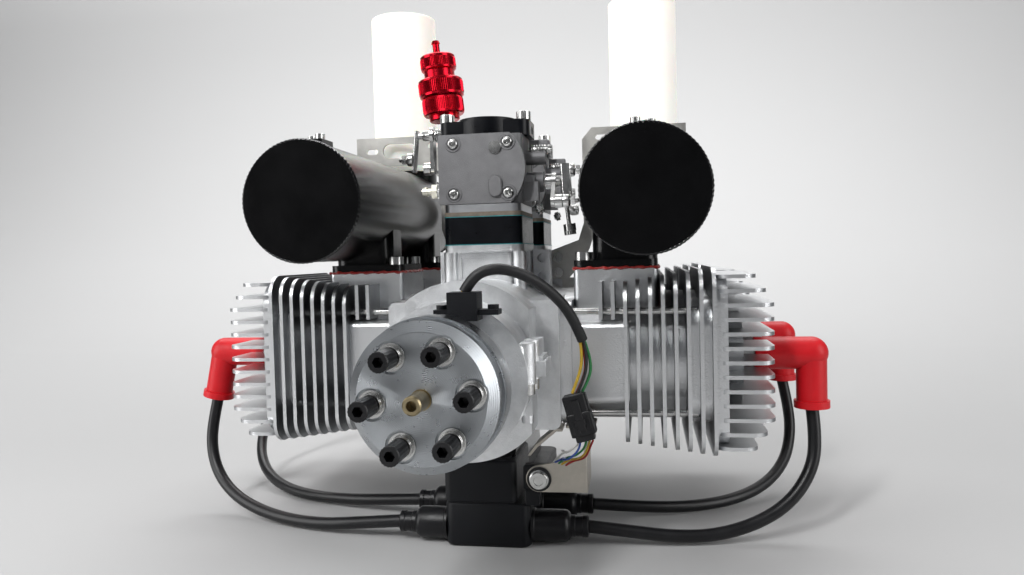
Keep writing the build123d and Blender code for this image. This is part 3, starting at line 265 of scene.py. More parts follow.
# ---- cords ----------------------------------------------------------------
def cord_curve(name, points, radius, finish):
    """One NURBS spline through the route's points, in millimetres."""
    data = bpy.data.curves.new(name, "CURVE")
    data.dimensions = "3D"
    spline = data.splines.new("NURBS")
    spline.points.add(len(points) - 1)
    for place, point in zip(spline.points, points):
        place.co = (*(Vector(point) * MM), 1)
    spline.order_u = 3
    spline.use_endpoint_u = True
    spline.resolution_u = 12
    data.bevel_depth = radius * MM
    data.bevel_resolution = 6
    data.use_fill_caps = True
    data.materials.append(M[finish])
    made = bpy.data.objects.new(name, data)
    bpy.context.scene.collection.objects.link(made)
    return made


def sampled(points):
    """The cord's own line, finely sampled, in millimetres."""
    curve = cord_curve("sampled_line", points, 0, "cable_sleeve")
    line = bpy.data.meshes.new_from_object(curve)
    found = [v.co / MM for v in line.vertices]
    bpy.data.objects.remove(curve)
    return found


CAP_X = 180.8
CAP_LEG = 30.3
CAP_LEAN = {"right": 0.0, "left": math.radians(12)}
LEAD_R = 3.55
LEAD_ENDS = {
    ("front", "right"): (58, -220, -90.8), ("rear", "right"): (58, -180, -90.8),
    ("front", "left"): (-48, -220, -90.8), ("rear", "left"): (-48, -180, -90.8),
}
LEAD_MIDDLES = {
    ("front", "right"): [
        (182.3, -192, -46.5), (179.5, -196, -63.5), (167.5, -202, -80), (149, -208, -90.5),
        (126.5, -214, -95.8), (104, -218, -95.8), (81, -220, -93)],
    ("rear", "right"): [
        (184, -94, -47), (184.3, -101, -64.5), (178.5, -113, -80.5), (164, -130, -91.5),
        (142, -148, -96.3), (116, -162, -96.8), (86.5, -173, -94.3)],
    ("front", "left"): [
        (-190.3, -169.5, -44.5), (-190.5, -173, -60), (-184.5, -178.5, -75), (-171, -186, -87),
        (-151, -195, -94), (-126, -205, -96.9), (-99, -214, -96.3), (-72.5, -219, -93)],
    ("rear", "left"): [
        (-191.5, -73, -45), (-195.5, -82, -59), (-194.5, -96, -72.5), (-186.5, -114, -84),
        (-171, -132, -92.5), (-149, -148, -96.6), (-124, -160, -96.9), (-98, -169, -95.5),
        (-72.5, -176, -92.8)],
}


def cap_leg(bank):
    """Direction of a plug cap's leg, from its elbow to its mouth."""
    side, lean = BANKS[bank], CAP_LEAN[bank]
    return Vector((side * math.sin(lean), 0, -math.cos(lean)))


for (pair, bank), middles in LEAD_MIDDLES.items():
    elbow = Vector((BANKS[bank] * CAP_X, cylinder_y(pair, bank), 0))
    mouth = elbow + CAP_LEG * cap_leg(bank)
    name = f"ht_lead_{pair}_{bank}"
    lead = cord_curve(f"{name}_jacket", [mouth, *middles, LEAD_ENDS[pair, bank]], LEAD_R,
                      "lead_jacket")
    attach(lead, "engine")
    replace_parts(lead, name)

# the sensor's four wires run in a sleeve, then bare to their connector
CABLE_ROUTE = [(9.5, -296, 41.9), (13, -296, 47.8), (19.5, -295.2, 51.8), (28.5, -292.5, 52),
               (39, -287, 47.5), (49, -280, 39), (56.5, -273, 28.5), (60.5, -267, 16.5),
               (60.2, -262.5, 4.5), (57.4, -260.6, -4), (54.8, -260, -10.7)]
CABLE_R = 2.6
WIRE_R = 0.75
SLEEVE_POINTS = 8            # the sleeve covers the route up to this point
WIRE_OFFSETS = {"yellow": (-0.8, -0.8), "black": (0.8, -0.8), "red": (-0.8, 0.8),
                "green": (0.8, 0.8)}
WIRE_BOW = {"yellow": 0.6, "black": 2.0, "red": 3.4, "green": 4.6}


def sensor_wire(tint):
    """One wire of the cable, bowing outwards by its own amount past the sleeve."""
    across, along = WIRE_OFFSETS[tint]
    free_spans = len(CABLE_ROUTE) - SLEEVE_POINTS + 1
    route = []
    for i, point in enumerate(CABLE_ROUTE):
        free = max(0, i - SLEEVE_POINTS + 1)
        bow = WIRE_BOW[tint] * math.sin(math.pi * min(free / free_spans, 1))
        route.append((point[0] + across + bow, point[1] + along, point[2]))
    return cord_curve(f"sensor_wire_{tint}", route, WIRE_R, f"wire_{tint}")


wires = [sensor_wire(tint) for tint in WIRE_OFFSETS]


# ---- mesh helpers ---------------------------------------------------------
def toward(origin, axis=UP, spin=0.0):
    """Matrix whose local Z runs along axis from origin."""
    turn = Vector(axis).normalized().to_track_quat("Z", "Y").to_matrix().to_4x4()
    return Matrix.Translation(Vector(origin)) @ turn @ Matrix.Rotation(math.radians(spin), 4, "Z")


def outline_factor(form, angle, steps):
    """How far a ring of the named form stands out at an angle."""
    if form == "hex":
        return math.cos(math.pi / 6) / math.cos(angle % (math.pi / 3) - math.pi / 6)
    if form == "cross":
        return 1.0 if abs(math.sin(2 * angle)) < 0.42 else 0.42
    if form == "knurl":
        return 1.0 + 0.022 * math.cos(steps / 4 * angle)
    return 1.0


class Shape:
    """Collects blocks in millimetres and makes them into one piece."""

    def __init__(self):
        self.points, self.faces = [], []

    def add(self, points, faces, place=None):
        base = len(self.points)
        place = place or Matrix.Identity(4)
        self.points += [place @ Vector(point) for point in points]
        self.faces += [[i + base for i in face] for face in faces]

    def lathe(self, profile, place, steps=48):
        """Rings of (radius, height) or (radius, height, form); a zero radius closes an end."""
        points, faces, rings = [], [], []
        for radius, height, *form in profile:
            if radius == 0:
                rings.append([len(points)])
                points.append((0, 0, height))
                continue
            rings.append(list(range(len(points), len(points) + steps)))
            for i in range(steps):
                angle = 2 * math.pi * i / steps
                reach = radius * outline_factor(form[0] if form else "round", angle, steps)
                points.append((reach * math.cos(angle), reach * math.sin(angle), height))
        for low, high in zip(rings, rings[1:]):
            for i in range(steps):
                j = (i + 1) % steps
                if len(low) == 1 and len(high) > 1:
                    faces.append([low[0], high[i], high[j]])
                elif len(high) == 1 and len(low) > 1:
                    faces.append([low[i], low[j], high[0]])
                elif len(low) > 1:
                    faces.append([low[i], low[j], high[j], high[i]])
        self.add(points, faces, place)

    def prism(self, outline, low, high, place=None):
        n = len(outline)
        points = [(*p, low) for p in outline] + [(*p, high) for p in outline]
        faces = [list(range(n))[::-1], list(range(n, 2 * n))]
        faces += [[i, (i + 1) % n, n + (i + 1) % n, n + i] for i in range(n)]
        self.add(points, faces, place)

    def block(self, low, high):
        self.prism([(low[0], low[1]), (high[0], low[1]), (high[0], high[1]), (low[0], high[1])],
                   low[2], high[2])

    def tube(self, route, radius, steps=10, closed=False):
        """Round bar along a list of points, with closed ends, or a closed ring.

        radius is a number or one number for each point."""
        route = [Vector(p) for p in route]
        count = len(route)
        radii = radius if isinstance(radius, list) else [radius] * count
        side = (route[1] - route[0]).orthogonal().normalized()
        points, faces = [], []
        for i, p in enumerate(route):
            after = route[(i + 1) % count if closed else min(i + 1, count - 1)]
            before = route[i - 1 if closed else max(i - 1, 0)]
            run = (after - before).normalized()
            side = (side - run * side.dot(run)).normalized()
            other = run.cross(side)
            for k in range(steps):
                angle = 2 * math.pi * k / steps
                points.append(p + radii[i] * (math.cos(angle) * side + math.sin(angle) * other))
        for i in range(count if closed else count - 1):
            for k in range(steps):
                j = (k + 1) % steps
                after = (i + 1) % count * steps
                faces.append([i * steps + k, i * steps + j, after + j, after + k])
        if not closed:
            last = (count - 1) * steps
            faces += [list(range(steps))[::-1], list(range(last, last + steps))]
        self.add(points, faces)

    def ring(self, place, inner, outer, height, edge=0.12, steps=40):
        """Washer or collar with slightly broken outer edges."""
        self.lathe([(inner, 0), (outer - edge, 0), (outer, edge), (outer, height - edge),
                    (outer - edge, height), (inner, height), (inner, 0)], place, steps)

    def rod(self, place, radius, length, edge=0.2, steps=24):
        self.lathe([(0, 0), (radius - edge, 0), (radius, edge), (radius, length - edge),
                    (radius - edge, length), (0, length)], place, steps)

    def stack(self, levels, place=None):
        """Rounded boxes of (half x, half y, corner, height) joined one above the other."""
        rings = [[(*p, height) for p in rounded_box(half_x, half_y, corner)]
                 for half_x, half_y, corner, height in levels]
        n = len(rings[0])
        faces = [list(range(n))[::-1], list(range(n * len(rings) - n, n * len(rings)))]
        for i in range(len(rings) - 1):
            for k in range(n):
                j = (k + 1) % n
                faces.append([i * n + k, i * n + j, (i + 1) * n + j, (i + 1) * n + k])
        self.add([p for ring in rings for p in ring], faces, place)

    def spring(self, place, radius, wire, length, turns, per_turn=20):
        count = int(turns * per_turn)
        coil = []
        for i in range(count + 1):
            angle = 2 * math.pi * i / per_turn
            coil.append(place @ Vector((radius * math.cos(angle), radius * math.sin(angle),
                                        length * i / count)))
        self.tube(coil, wire, 8)

    def cap_head(self, place, radius, height, steps=72):
        """Knurled socket head with its hexagon hole."""
        edge = 0.08 * radius
        self.lathe([(0, 0), (radius, 0), (radius, 0.35, "knurl"),
                    (radius, height - edge, "knurl"), (radius - edge, height),
                    (0.58 * radius, height), (0.55 * radius, height, "hex"),
                    (0.52 * radius, 0.4 * height, "hex"), (0, 0.36 * height)], place, steps)

    def pan_head(self, place, radius, height):
        """Domed head with a cross recess."""
        self.lathe([(0, 0), (radius, 0), (radius, 0.35 * height), (0.86 * radius, 0.8 * height),
                    (0.66 * radius, height), (0.58 * radius, height, "cross"),
                    (0.40 * radius, 0.25 * height, "cross"), (0, 0.2 * height)], place, 48)

    def hex_nut(self, place, radius, height, hole=0.0):
        inner = [(hole, height), (hole, 0)] if hole else [(0, height)]
        start = [(hole, 0)] if hole else [(0, 0)]
        self.lathe([*start, (0.9 * radius, 0), (radius, 0.12 * height, "hex"),
                    (radius, 0.88 * height, "hex"), (0.86 * radius, height), *inner], place, 48)

    def make(self, name, body, finish, slot=None, round_edges=0.0, smooth_angle=35):
        mesh = bpy.data.meshes.new(name)
        mesh.from_pydata([p * MM for p in self.points], [], self.faces)
        work = bmesh.new()
        work.from_mesh(mesh)
        bmesh.ops.remove_doubles(work, verts=work.verts, dist=1e-7)
        bmesh.ops.dissolve_degenerate(work, edges=work.edges, dist=1e-7)
        bmesh.ops.recalc_face_normals(work, faces=work.faces)
        work.to_mesh(mesh)
        work.free()
        mesh.shade_smooth()
        mesh.set_sharp_from_angle(angle=math.radians(smooth_angle))
        mesh.materials.append(M[finish])
        made = bpy.data.objects.new(name, mesh)
        bpy.context.scene.collection.objects.link(made)
        if round_edges:
            bevel = made.modifiers.new("edges", "BEVEL")
            bevel.width = round_edges * MM
            bevel.segments = 2
            bevel.limit_method = "ANGLE"
            bevel.angle_limit = math.radians(40)
        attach(made, body)
        return made


def rounded_box(half_x, half_y, corner, steps=6):
    """Outline of a rectangle with round corners."""
    outline = []
    for quarter, (sx, sy) in enumerate(((1, 1), (-1, 1), (-1, -1), (1, -1))):
        for i in range(steps + 1):
            angle = math.pi / 2 * (quarter + i / steps)
            outline.append((sx * (half_x - corner) + corner * math.cos(angle),
                            sy * (half_y - corner) + corner * math.sin(angle)))
    return outline


# ---- sensor cable: sleeve round the wires ---------------------------------
sleeve_shape = Shape()
sleeve_shape.tube(sampled(CABLE_ROUTE[:SLEEVE_POINTS]), CABLE_R, 24)
sleeve = sleeve_shape.make("sensor_sleeve", "engine", "cable_sleeve")

for tint, wire in zip(WIRE_OFFSETS, wires):
    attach(wire, "engine")
    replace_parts(wire, "sensor_cable")
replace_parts(sleeve, "sensor_cable")


# ---- propeller bolts ------------------------------------------------------
BOLT_CIRCLE_R = 21.45
FIRST_BOLT_ANGLE = 5.4
BOLT_PLACES = [(BOLT_CIRCLE_R * math.cos(a), BOLT_CIRCLE_R * math.sin(a))
               for a in (math.radians(FIRST_BOLT_ANGLE + 60 * i) for i in range(6))]


def make_prop_bolts():
    """Six long socket heads, each on a flat washer and two spring rings."""
    heads, washers = Shape(), Shape()
    for x, z in BOLT_PLACES:
        heads.cap_head(toward((x, -342.4, z), FRONT), 4.25, 12.4)
        heads.rod(toward((x, -341.6, z), FRONT), 3.4, 1.4)
        washers.ring(toward((x, -337.5, z), FRONT), 2.6, 6.0, 1.1)
        washers.ring(toward((x, -338.8, z), FRONT), 2.6, 4.9, 1.3)
        washers.ring(toward((x, -340.3, z), FRONT), 2.6, 4.9, 1.3)
    for piece in (heads.make("prop_bolt_heads", "crank", "black_oxide"),
                  washers.make("prop_bolt_washers", "crank", "screw_steel",
                               slot="black_oxide")):
        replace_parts(piece, "prop_bolts")


make_prop_bolts()


# ---- carburettors ---------------------------------------------------------
COVER_FACE = -26.0           # from the pair's middle
HORN_TOP_Z = 136.5
THROTTLE_SHAFT_Z = 101.0
CHOKE_SHAFT_Z = 131.5
COVER_SCREW_X = 15.7
HORN_SCREW_X = 22.8
LINK_BALL = (44.4, -10.28, 88.74)    # X, Y from the pair's middle, Z


def make_carburettor_details():
    """Cover and horn screws, bosses, fuel fittings and springs of both carburettors."""
    screws, zinc, steel, springs = Shape(), Shape(), Shape(), Shape()
    for y in PAIR_Y.values():
        face = y + COVER_FACE
        for side in (-1, 1):
            x = side * COVER_SCREW_X
            for z in (93.5, 122.0):
                screws.pan_head(toward((x, face - 0.1, z), FRONT, 20 + 7 * x), 3.1, 2.0)
                zinc.ring(toward((x, face + 0.3, z), FRONT), 3.5, 4.7, 0.9, 0.4)
            screws.cap_head(toward((side * HORN_SCREW_X, y - 8, HORN_TOP_Z)), 4.2, 5.0)
        zinc.stack([(3.9, 6.2, 3.8, 0), (3.9, 6.2, 3.8, 1.3), (3.3, 5.6, 3.2, 1.9)],
                   Matrix.Translation((8.4, face + 0.1, 97.4)) @ Matrix.Rotation(
                       math.pi / 2, 4, "X"))
        steel.lathe([(0, -0.5), (3.9, -0.5), (3.9, 0.5), (3.4, 1.1), (0, 1.3)],
                    toward((8.7, face, 119.3), FRONT), 40)
        # pump boss with its spring, and the idle screw under it
        springs.spring(toward((26, y - 3, 119.6), (1, 0, 0)), 2.6, 0.45, 9.5, 6)
        steel.rod(toward((25, y - 3, 119.6), (1, 0, 0)), 1.5, 13)
        steel.hex_nut(toward((36, y - 3, 119.6), (1, 0, 0)), 2.9, 2.6)
        zinc.stack([(3.4, 5.0, 1, 0), (3.4, 5.0, 1, 11), (2.8, 4.4, 1, 11.6)],
                   toward((24.5, y + 4, 121.2), (1, 0, 0)))
        steel.rod(toward((30, y - 9, 87.5), (0.3, 0, -1)), 1.5, 6)
        springs.spring(toward((30.3, y - 9, 86.5), (0.3, 0, -1)), 2.2, 0.4, 3.5, 4)
        zinc.lathe([(0, 0), (5.2, 0, "hex"), (5.2, 5.0, "hex"), (4.2, 6.0), (0, 6.0)],
                   toward((23.0, y - 10, 99.5), (1, 0, 0)), 48)
        # choke side: torsion spring on the plate and the fuel fitting's collar
        springs.spring(toward((-26.6, y, 131.5), (-1, 0, 0)), 3.4, 0.45, 5.8, 5)
        steel.hex_nut(toward((-26.4, y - 8, 97), (-1, 0, 0)), 5.2, 3.2)
    for name, shape, finish in (("carburettor_bosses", zinc, "carburettor_zinc"),
                                ("carburettor_fittings", steel, "screw_steel"),
                                ("carburettor_springs", springs, "lever_steel")):
        shape.make(name, "engine", finish)
    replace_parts(screws.make("carburettor_screw_heads", "engine", "screw_steel"),
                "carburettor_screws")


make_carburettor_details()


def ball_joint(shape, place):
    """Rod-end socket, its nut and its rounded stud end, outwards along place."""
    shape.lathe([(0, 0), (3.0, 0), (3.9, 0.8), (4.1, 2.4), (3.9, 4.0), (2.9, 4.8), (1.6, 4.9),
                 (1.6, 5.3), (2.9, 5.4, "hex"), (2.9, 7.6, "hex"), (1.6, 7.8), (1.5, 9.2),
                 (0.9, 9.7), (0, 9.8)], place, 48)


def low_ball_joint(shape, place):
    """Socket whose stud is riveted flush."""
    shape.lathe([(0, 0), (3.0, 0), (3.6, 0.5), (3.6, 1.0), (2.8, 1.4), (1.4, 1.5), (1.2, 1.7),
                 (0, 1.8)], place, 48)


def make_linkage():
    """Nuts and collars on every shaft; the front shafts also carry the cable levers."""
    for pair, y in PAIR_Y.items():
        shape = Shape()
        shape.hex_nut(toward((40.3, y, THROTTLE_SHAFT_Z), (1, 0, 0)), 3.9, 2.6, 2.0)
        shape.ring(toward((34.2, y, THROTTLE_SHAFT_Z), (1, 0, 0)), 3.05, 4.6, 3.4)
        shape.make(f"throttle_nut_{pair}", f"throttle_{pair}", "lever_steel")
        shape = Shape()
        shape.hex_nut(toward((-35.1, y, CHOKE_SHAFT_Z), (-1, 0, 0)), 3.3,
                      5.0 if pair == "front" else 0.5)
        if pair == "front":
            # the shaft's long end with its strip lever and the cable's ball stud
            shape.rod(toward((-35, y, CHOKE_SHAFT_Z), (-1, 0, 0)), 1.9, 10)
            shape.stack([(1.1, 2.6, 0.9, 0), (1.1, 2.6, 0.9, 25)],
                        toward((-43.6, y - 0.5, 134.5), (-0.1, 0, -1), 90))
            ball_joint(shape, toward((-45.6, y - 1, 117.5), (-1, 0, 0)))
        shape.make(f"choke_nut_{pair}", f"choke_{pair}", "lever_steel")
        if pair == "front":
            shape = Shape()
            shape.rod(toward((46, y - 6, 91), (0.12, 0, -1)), 1.2, 19)
            shape.ring(toward((47.9, y - 6, 75.5), (0.12, 0, -1)), 1.2, 3.6, 4.2)
            shape.lathe([(0, 0), (3.4, 0, "knurl"), (3.4, 2.4, "knurl"), (0, 2.4)],
                        toward((48.2, y - 6, 71.6), (0.12, 0, -1)), 80)
            shape.stack([(1.0, 3.0, 0.8, 0), (1.0, 3.0, 0.8, 24)],
                        toward((45.8, y - 2, 111), (0.06, -0.2, -1), 90))
            shape.ring(toward((43.2, y, THROTTLE_SHAFT_Z), (1, 0, 0)), 1.2, 3.4, 3.2)
            ball_joint(shape, toward((46.6, y + 1, 107.5), (1, 0, 0)))
            shape.make("throttle_cable_lever", f"throttle_{pair}", "lever_steel")
    joints = Shape()
    for y, joint in ((PAIR_Y["front"], ball_joint), (PAIR_Y["rear"], low_ball_joint)):
        joint(joints, toward((LINK_BALL[0], y + LINK_BALL[1], LINK_BALL[2]), (1, 0, 0)))
    joints.make("throttle_ball_joints", "throttle_rod", "lever_steel")


make_linkage()


# ---- fuel filter ----------------------------------------------------------
def make_filter():
    """Turned filter body with knurled bands and a nipple on top."""
    lean = math.radians(5.5)
    shape = Shape()
    shape.lathe([(0, 0), (3, 0), (3, 3), (9.8, 3), (10.5, 3.7), (10.5, 7), (13.2, 7), (14, 7.8),
                 (14, 10, "knurl"), (14, 16.6, "knurl"), (14, 18.2), (13.1, 19), (14.3, 19),
                 (15.2, 19.9), (15.2, 21.4), (15.2, 21.6, "knurl"), (15.2, 29.4, "knurl"),
                 (15.2, 29.6), (15.2, 30.7), (14.3, 31.5), (10.5, 31.5), (10.5, 37.4),
                 (11.2, 37.5), (12, 38.3), (12, 39.4), (12, 39.6, "knurl"), (12, 45.4, "knurl"),
                 (12, 45.6), (12, 47.2), (11.2, 48), (3.4, 48), (2.4, 49), (2.4, 56),
                 (3.1, 56.6), (2.3, 58.5), (0, 58.5)],
                toward((-43.5, -108, 149), (-math.sin(lean), 0, math.cos(lean))), 288)
    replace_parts(shape.make("filter_housing", "engine", "red_anodised"), "fuel_filter")


make_filter()


# ---- exhaust --------------------------------------------------------------
MUFFLER_PLACE = (91.8, 90.1)
MUFFLER_RADIUS = 33.1
MUFFLER_ENDS = (-243.4, -12.0)
RIPPLES = 84


def make_muffler_seams():
    """Weld beads round both ends of each canister, and the pads' small screws."""
    beads = Shape()
    x0, z0 = MUFFLER_PLACE
    for side in BANKS.values():
        for y in (MUFFLER_ENDS[0] + 0.9, MUFFLER_ENDS[1] - 0.9):
            ring, radii = [], []
            for i in range(4 * RIPPLES):
                angle = 2 * math.pi * i / (4 * RIPPLES)
                reach = MUFFLER_RADIUS - 0.1
                ring.append((side * x0 + reach * math.cos(angle), y, z0 + reach * math.sin(angle)))
                radii.append(0.85 + 0.13 * math.cos(RIPPLES * angle)
                             + 0.08 * math.sin(5 * angle + side))
            beads.tube(ring, radii, 8, closed=True)
    beads.make("muffler_weld_beads", "engine", "gloss_black", slot="muffler_black")
    caps = Shape()
    for side in BANKS.values():
        caps.cap_head(toward((side * (x0 - 4.5), -223.5, 125.6)), 2.6, 3.2)
        caps.cap_head(toward((side * (x0 + 3.5), -215.5, 125.6)), 2.6, 3.2)
    caps.make("muffler_pad_screws", "engine", "screw_steel")


make_muffler_seams()


FLANGE_X = 75.0
FLANGE_HALF = 23.2
SEALANT_Z = 49.8
SEALANT_STEP = 0.9


def make_sealant():
    """Red sealant squeezed out all round under the muffler flanges."""
    beads = Shape()
    outline = rounded_box(FLANGE_HALF, FLANGE_HALF, 4, 8)
    fine = []
    for i, p in enumerate(outline):
        q = outline[(i + 1) % len(outline)]
        count = max(1, round(math.dist(p, q) / SEALANT_STEP))
        fine += [(p[0] + (q[0] - p[0]) * k / count, p[1] + (q[1] - p[1]) * k / count)
                 for k in range(count)]
    for n, (pair, bank) in enumerate(LEAD_MIDDLES):
        x, y = BANKS[bank] * FLANGE_X, cylinder_y(pair, bank)
        route, radii = [], []
        for i, (dx, dy) in enumerate(fine):
            wave = math.sin(0.61 * i + n) + 0.6 * math.sin(1.37 * i + 2 * n)
            route.append((x + dx * (1 + 0.006 * wave), y + dy * (1 + 0.006 * wave),
                          SEALANT_Z + 0.22 * math.sin(0.83 * i + n)))
            radii.append(0.72 + 0.2 * wave)
        beads.tube(route, radii, 8, closed=True)
    beads.make("sealant_beads", "engine", "red_sealant")


make_sealant()


# ---- ignition module, boots and bracket -----------------------------------
def side_profile(low_x):
    """Matrix that stands a (Y, Z) outline up and extrudes it along X from low_x."""
    return Matrix(((0, 0, 1, low_x), (1, 0, 0, 0), (0, 1, 0, 0), (0, 0, 0, 1)))


def make_module():
    """Stepped case with a raised front block, its socket, and the sloping potted side."""
    lower = Shape()
    lower.stack([(21.6, 64.8, 4.5, -101), (22.7, 65.9, 5, -100.7), (23.5, 66.7, 5, -99.9),
                 (23.8, 67, 5, -98.8), (23.8, 67, 5, -77.9), (23.4, 66.6, 5, -77.1),
                 (22.6, 65.8, 4.6, -76.7)], Matrix.Translation((3.7, -163, 0)))
    lower.stack([(19.4, 24.2, 4, -77.2), (19.4, 24.2, 4, -76.2), (20.2, 25, 4, -75.7),
                 (20.2, 25, 4, -55.0), (19.8, 24.6, 4, -54.0), (18.9, 23.7, 3.6, -53.3)],
                Matrix.Translation((0, -205, 0)))
    lower.stack([(6.6, 8, 2, 0), (7, 8, 2, 0.4), (7, 8, 2, 5.2), (6.4, 7.4, 2, 5.9)],
                toward((32, -224, -62), FRONT, 90))
    lower.stack([(4, 3, 0.8, 0), (4, 3, 0.8, 8)], Matrix.Translation((29, -227, -76.9)))
    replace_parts(lower.make("module_case", "engine", "module_plastic"), "ignition_module")
    slope = Shape()
    slope.prism([(-222, -54.3), (-214, -48.2), (-120, -48.2), (-106, -77.4), (-222, -77.4)],
                0, 34, side_profile(-16))
    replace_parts(slope.make("module_potting", "engine", "gloss_black", slot="module_plastic",
                           round_edges=2.0), "ignition_module")


make_module()


def make_boots():
    """Ribbed rubber boots where the ignition leads leave the module."""
    boots = Shape()
    for (pair, bank), (exit_x, y, z) in LEAD_ENDS.items():
        side = BANKS[bank]
        start = 27.2 if side > 0 else -19.9
        length = abs(exit_x - start)
        neck = length - 9.5
        boots.lathe([(0, 0), (9.2, 0), (9.2, 1.4), (8.6, 2.0), (8.7, 6), (8.7, neck - 3.4),
                     (8.4, neck - 2.2), (7.4, neck - 0.9), (6.2, neck - 0.2), (5.9, neck),
                     (5.9, neck + 2.2), (5.5, neck + 2.6), (5.5, neck + 6.2),
                     (5.9, neck + 6.6), (5.9, length - 0.5), (5.4, length), (0, length)],
                    toward((start, y, z), (side, 0, 0)), 56)
    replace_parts(boots.make("lead_boot_shells", "engine", "boot_rubber"), "lead_boots")


make_boots()

TAB_SCREW = (33.0, -62.0)
SHEET = 1.5


def make_bracket():
    """Bent sheet that ties the module to the engine, with its washer and bolt."""
    plate = Shape()
    upright = Matrix.Translation((0, -230.2, 0)) @ Matrix.Rotation(math.pi / 2, 4, "X")
    turn_in = [(TAB_SCREW[0] + 7.2 * math.cos(a), TAB_SCREW[1] + 7.2 * math.sin(a))
               for a in (math.radians(108 + 14 * i) for i in range(12))]
    plate.prism([(58.4, -49.5), *turn_in, (58.4, -69)], 0, SHEET, upright)
    plate.prism([(-231.6, -69), (-203, -69), (-203, -34.6), (-212, -34.6), (-212, -42),
                 (-226, -42), (-231.6, -47)], 0, SHEET, side_profile(57.25))
    plate.stack([(8, 11, 2, -36), (8, 11, 2, -34.5)], Matrix.Translation((55, -214, 0)))
    plate.rod(toward((57, -217, -34.6)), 4, 6.6)
    # folded gusset beside the module
    plate.prism([(25.6, -52), (30, -46), (41, -37), (45, -37), (45, -38.5), (41.6, -38.5),
                 (31, -47.4), (27.2, -52)], 0, 16, Matrix.Translation(
                     (0, -206, 0)) @ Matrix.Rotation(math.pi / 2, 4, "X"))
    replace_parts(plate.make("bracket_sheet", "engine", "bracket_steel", slot="sheet_steel",
                           round_edges=0.35), "ignition_bracket")
    washers = Shape()
    washers.ring(toward((TAB_SCREW[0], -231.7, TAB_SCREW[1]), FRONT), 2.7, 6.6, 0.9)
    washers.make("bracket_washer", "engine", "black_oxide")
    heads = Shape()
    heads.lathe([(0, 0), (5.2, 0), (5.2, 0.9), (4.5, 1.2), (4.5, 3.4, "hex"), (4.3, 4.0),
                 (2.6, 4.0), (2.4, 3.2), (0, 3.1)],
                toward((TAB_SCREW[0], -232.4, TAB_SCREW[1]), FRONT, 12), 60)
    heads.make("bracket_bolt", "engine", "screw_steel")


make_bracket()


# ---- connector and the module's wires -------------------------------------
CONNECTOR_TOP = (54.8, -260.0, -10.9)
CONNECTOR_LEAN = math.radians(15)
CONNECTOR_AXIS = Vector((math.sin(CONNECTOR_LEAN), 0, -math.cos(CONNECTOR_LEAN)))


def make_connector():
    """Two mated plastic halves with a latch, side rails and finger ribs."""
    across = Vector((math.cos(CONNECTOR_LEAN), 0, math.sin(CONNECTOR_LEAN)))
    place = Matrix((across, CONNECTOR_AXIS.cross(across), CONNECTOR_AXIS)).transposed().to_4x4()
    place = Matrix.Translation(CONNECTOR_TOP) @ place
    shape = Shape()
    shape.stack([(4.9, 3.1, 0.8, 0.2), (5.2, 3.4, 0.9, 0.6), (5.2, 3.4, 0.9, 9.8)], place)
    shape.stack([(6.1, 3.8, 1.0, 9.6), (6.3, 4.0, 1.0, 10.0), (6.3, 4.0, 1.0, 20.6),
                 (5.9, 3.6, 1.0, 21.0)], place)
    shape.stack([(4.8, 3.0, 0.8, 20.8), (4.8, 3.0, 0.8, 23.6), (4.5, 2.7, 0.8, 24.0)], place)
    # latch tongue, its hook and the side rails
    shape.stack([(1.9, 0.7, 0.4, 3), (1.9, 0.7, 0.4, 18)],
                place @ Matrix.Translation((0, 4.3, 0)))
    shape.stack([(2.6, 1.0, 0.4, 13), (2.6, 1.0, 0.4, 15.5)],
                place @ Matrix.Translation((0, 4.3, 0)))
    for x in (-5.4, 5.4):
        shape.stack([(0.6, 2.2, 0.3, 1), (0.6, 2.2, 0.3, 9.7)],
                    place @ Matrix.Translation((x, 0, 0)))
    for k in range(4):
        shape.stack([(0.35, 4.2, 0.2, 11), (0.35, 4.2, 0.2, 19.5)],
                    place @ Matrix.Translation((-4.5 + 3 * k, 0, 0)))
    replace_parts(shape.make("connector_halves", "engine", "connector_plastic"),
                "cable_connectors")


make_connector()

MODULE_WIRE_R = 0.55
MODULE_WIRES = {
    # tint: middle points of the wire from the connector to behind the bracket's tab
    "blue": [(58, -260, -38), (52, -258, -44.5), (47.5, -252, -46), (48.5, -243, -48),
             (46, -233, -50)],
    "white": [(56, -259, -37), (50.5, -256, -42), (47, -250, -41.5), (49.5, -242, -45),
              (45, -232, -47.5)],
    "green": [(59.8, -258, -38.5), (56, -252, -43), (53, -243, -46.5), (47, -233, -50)],
    "yellow": [(61.2, -258.6, -39), (58.5, -252, -44), (54.5, -243, -48), (48, -232.5, -51)],
    "red": [(62, -257.4, -39), (60, -250, -44.5), (56.5, -242, -48.5), (50, -232, -52)],
}


def make_module_wires():
    """Thin wires that loop from the connector to behind the bracket's tab."""
    foot = Vector(CONNECTOR_TOP) + 23.9 * CONNECTOR_AXIS
    for i, (tint, middles) in enumerate(MODULE_WIRES.items()):
        start = foot + Vector((-3.2 + 1.6 * i, -0.9 + 1.5 * (i % 2), 0))
        route = [start, *middles, (37.5, -228.6 + 0.9 * i, -56 - 1.7 * i)]
        line = sampled(route)
        wire = cord_curve(f"module_wire_{tint}", route, MODULE_WIRE_R, f"wire_{tint}")
        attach(wire, "engine")


make_module_wires()


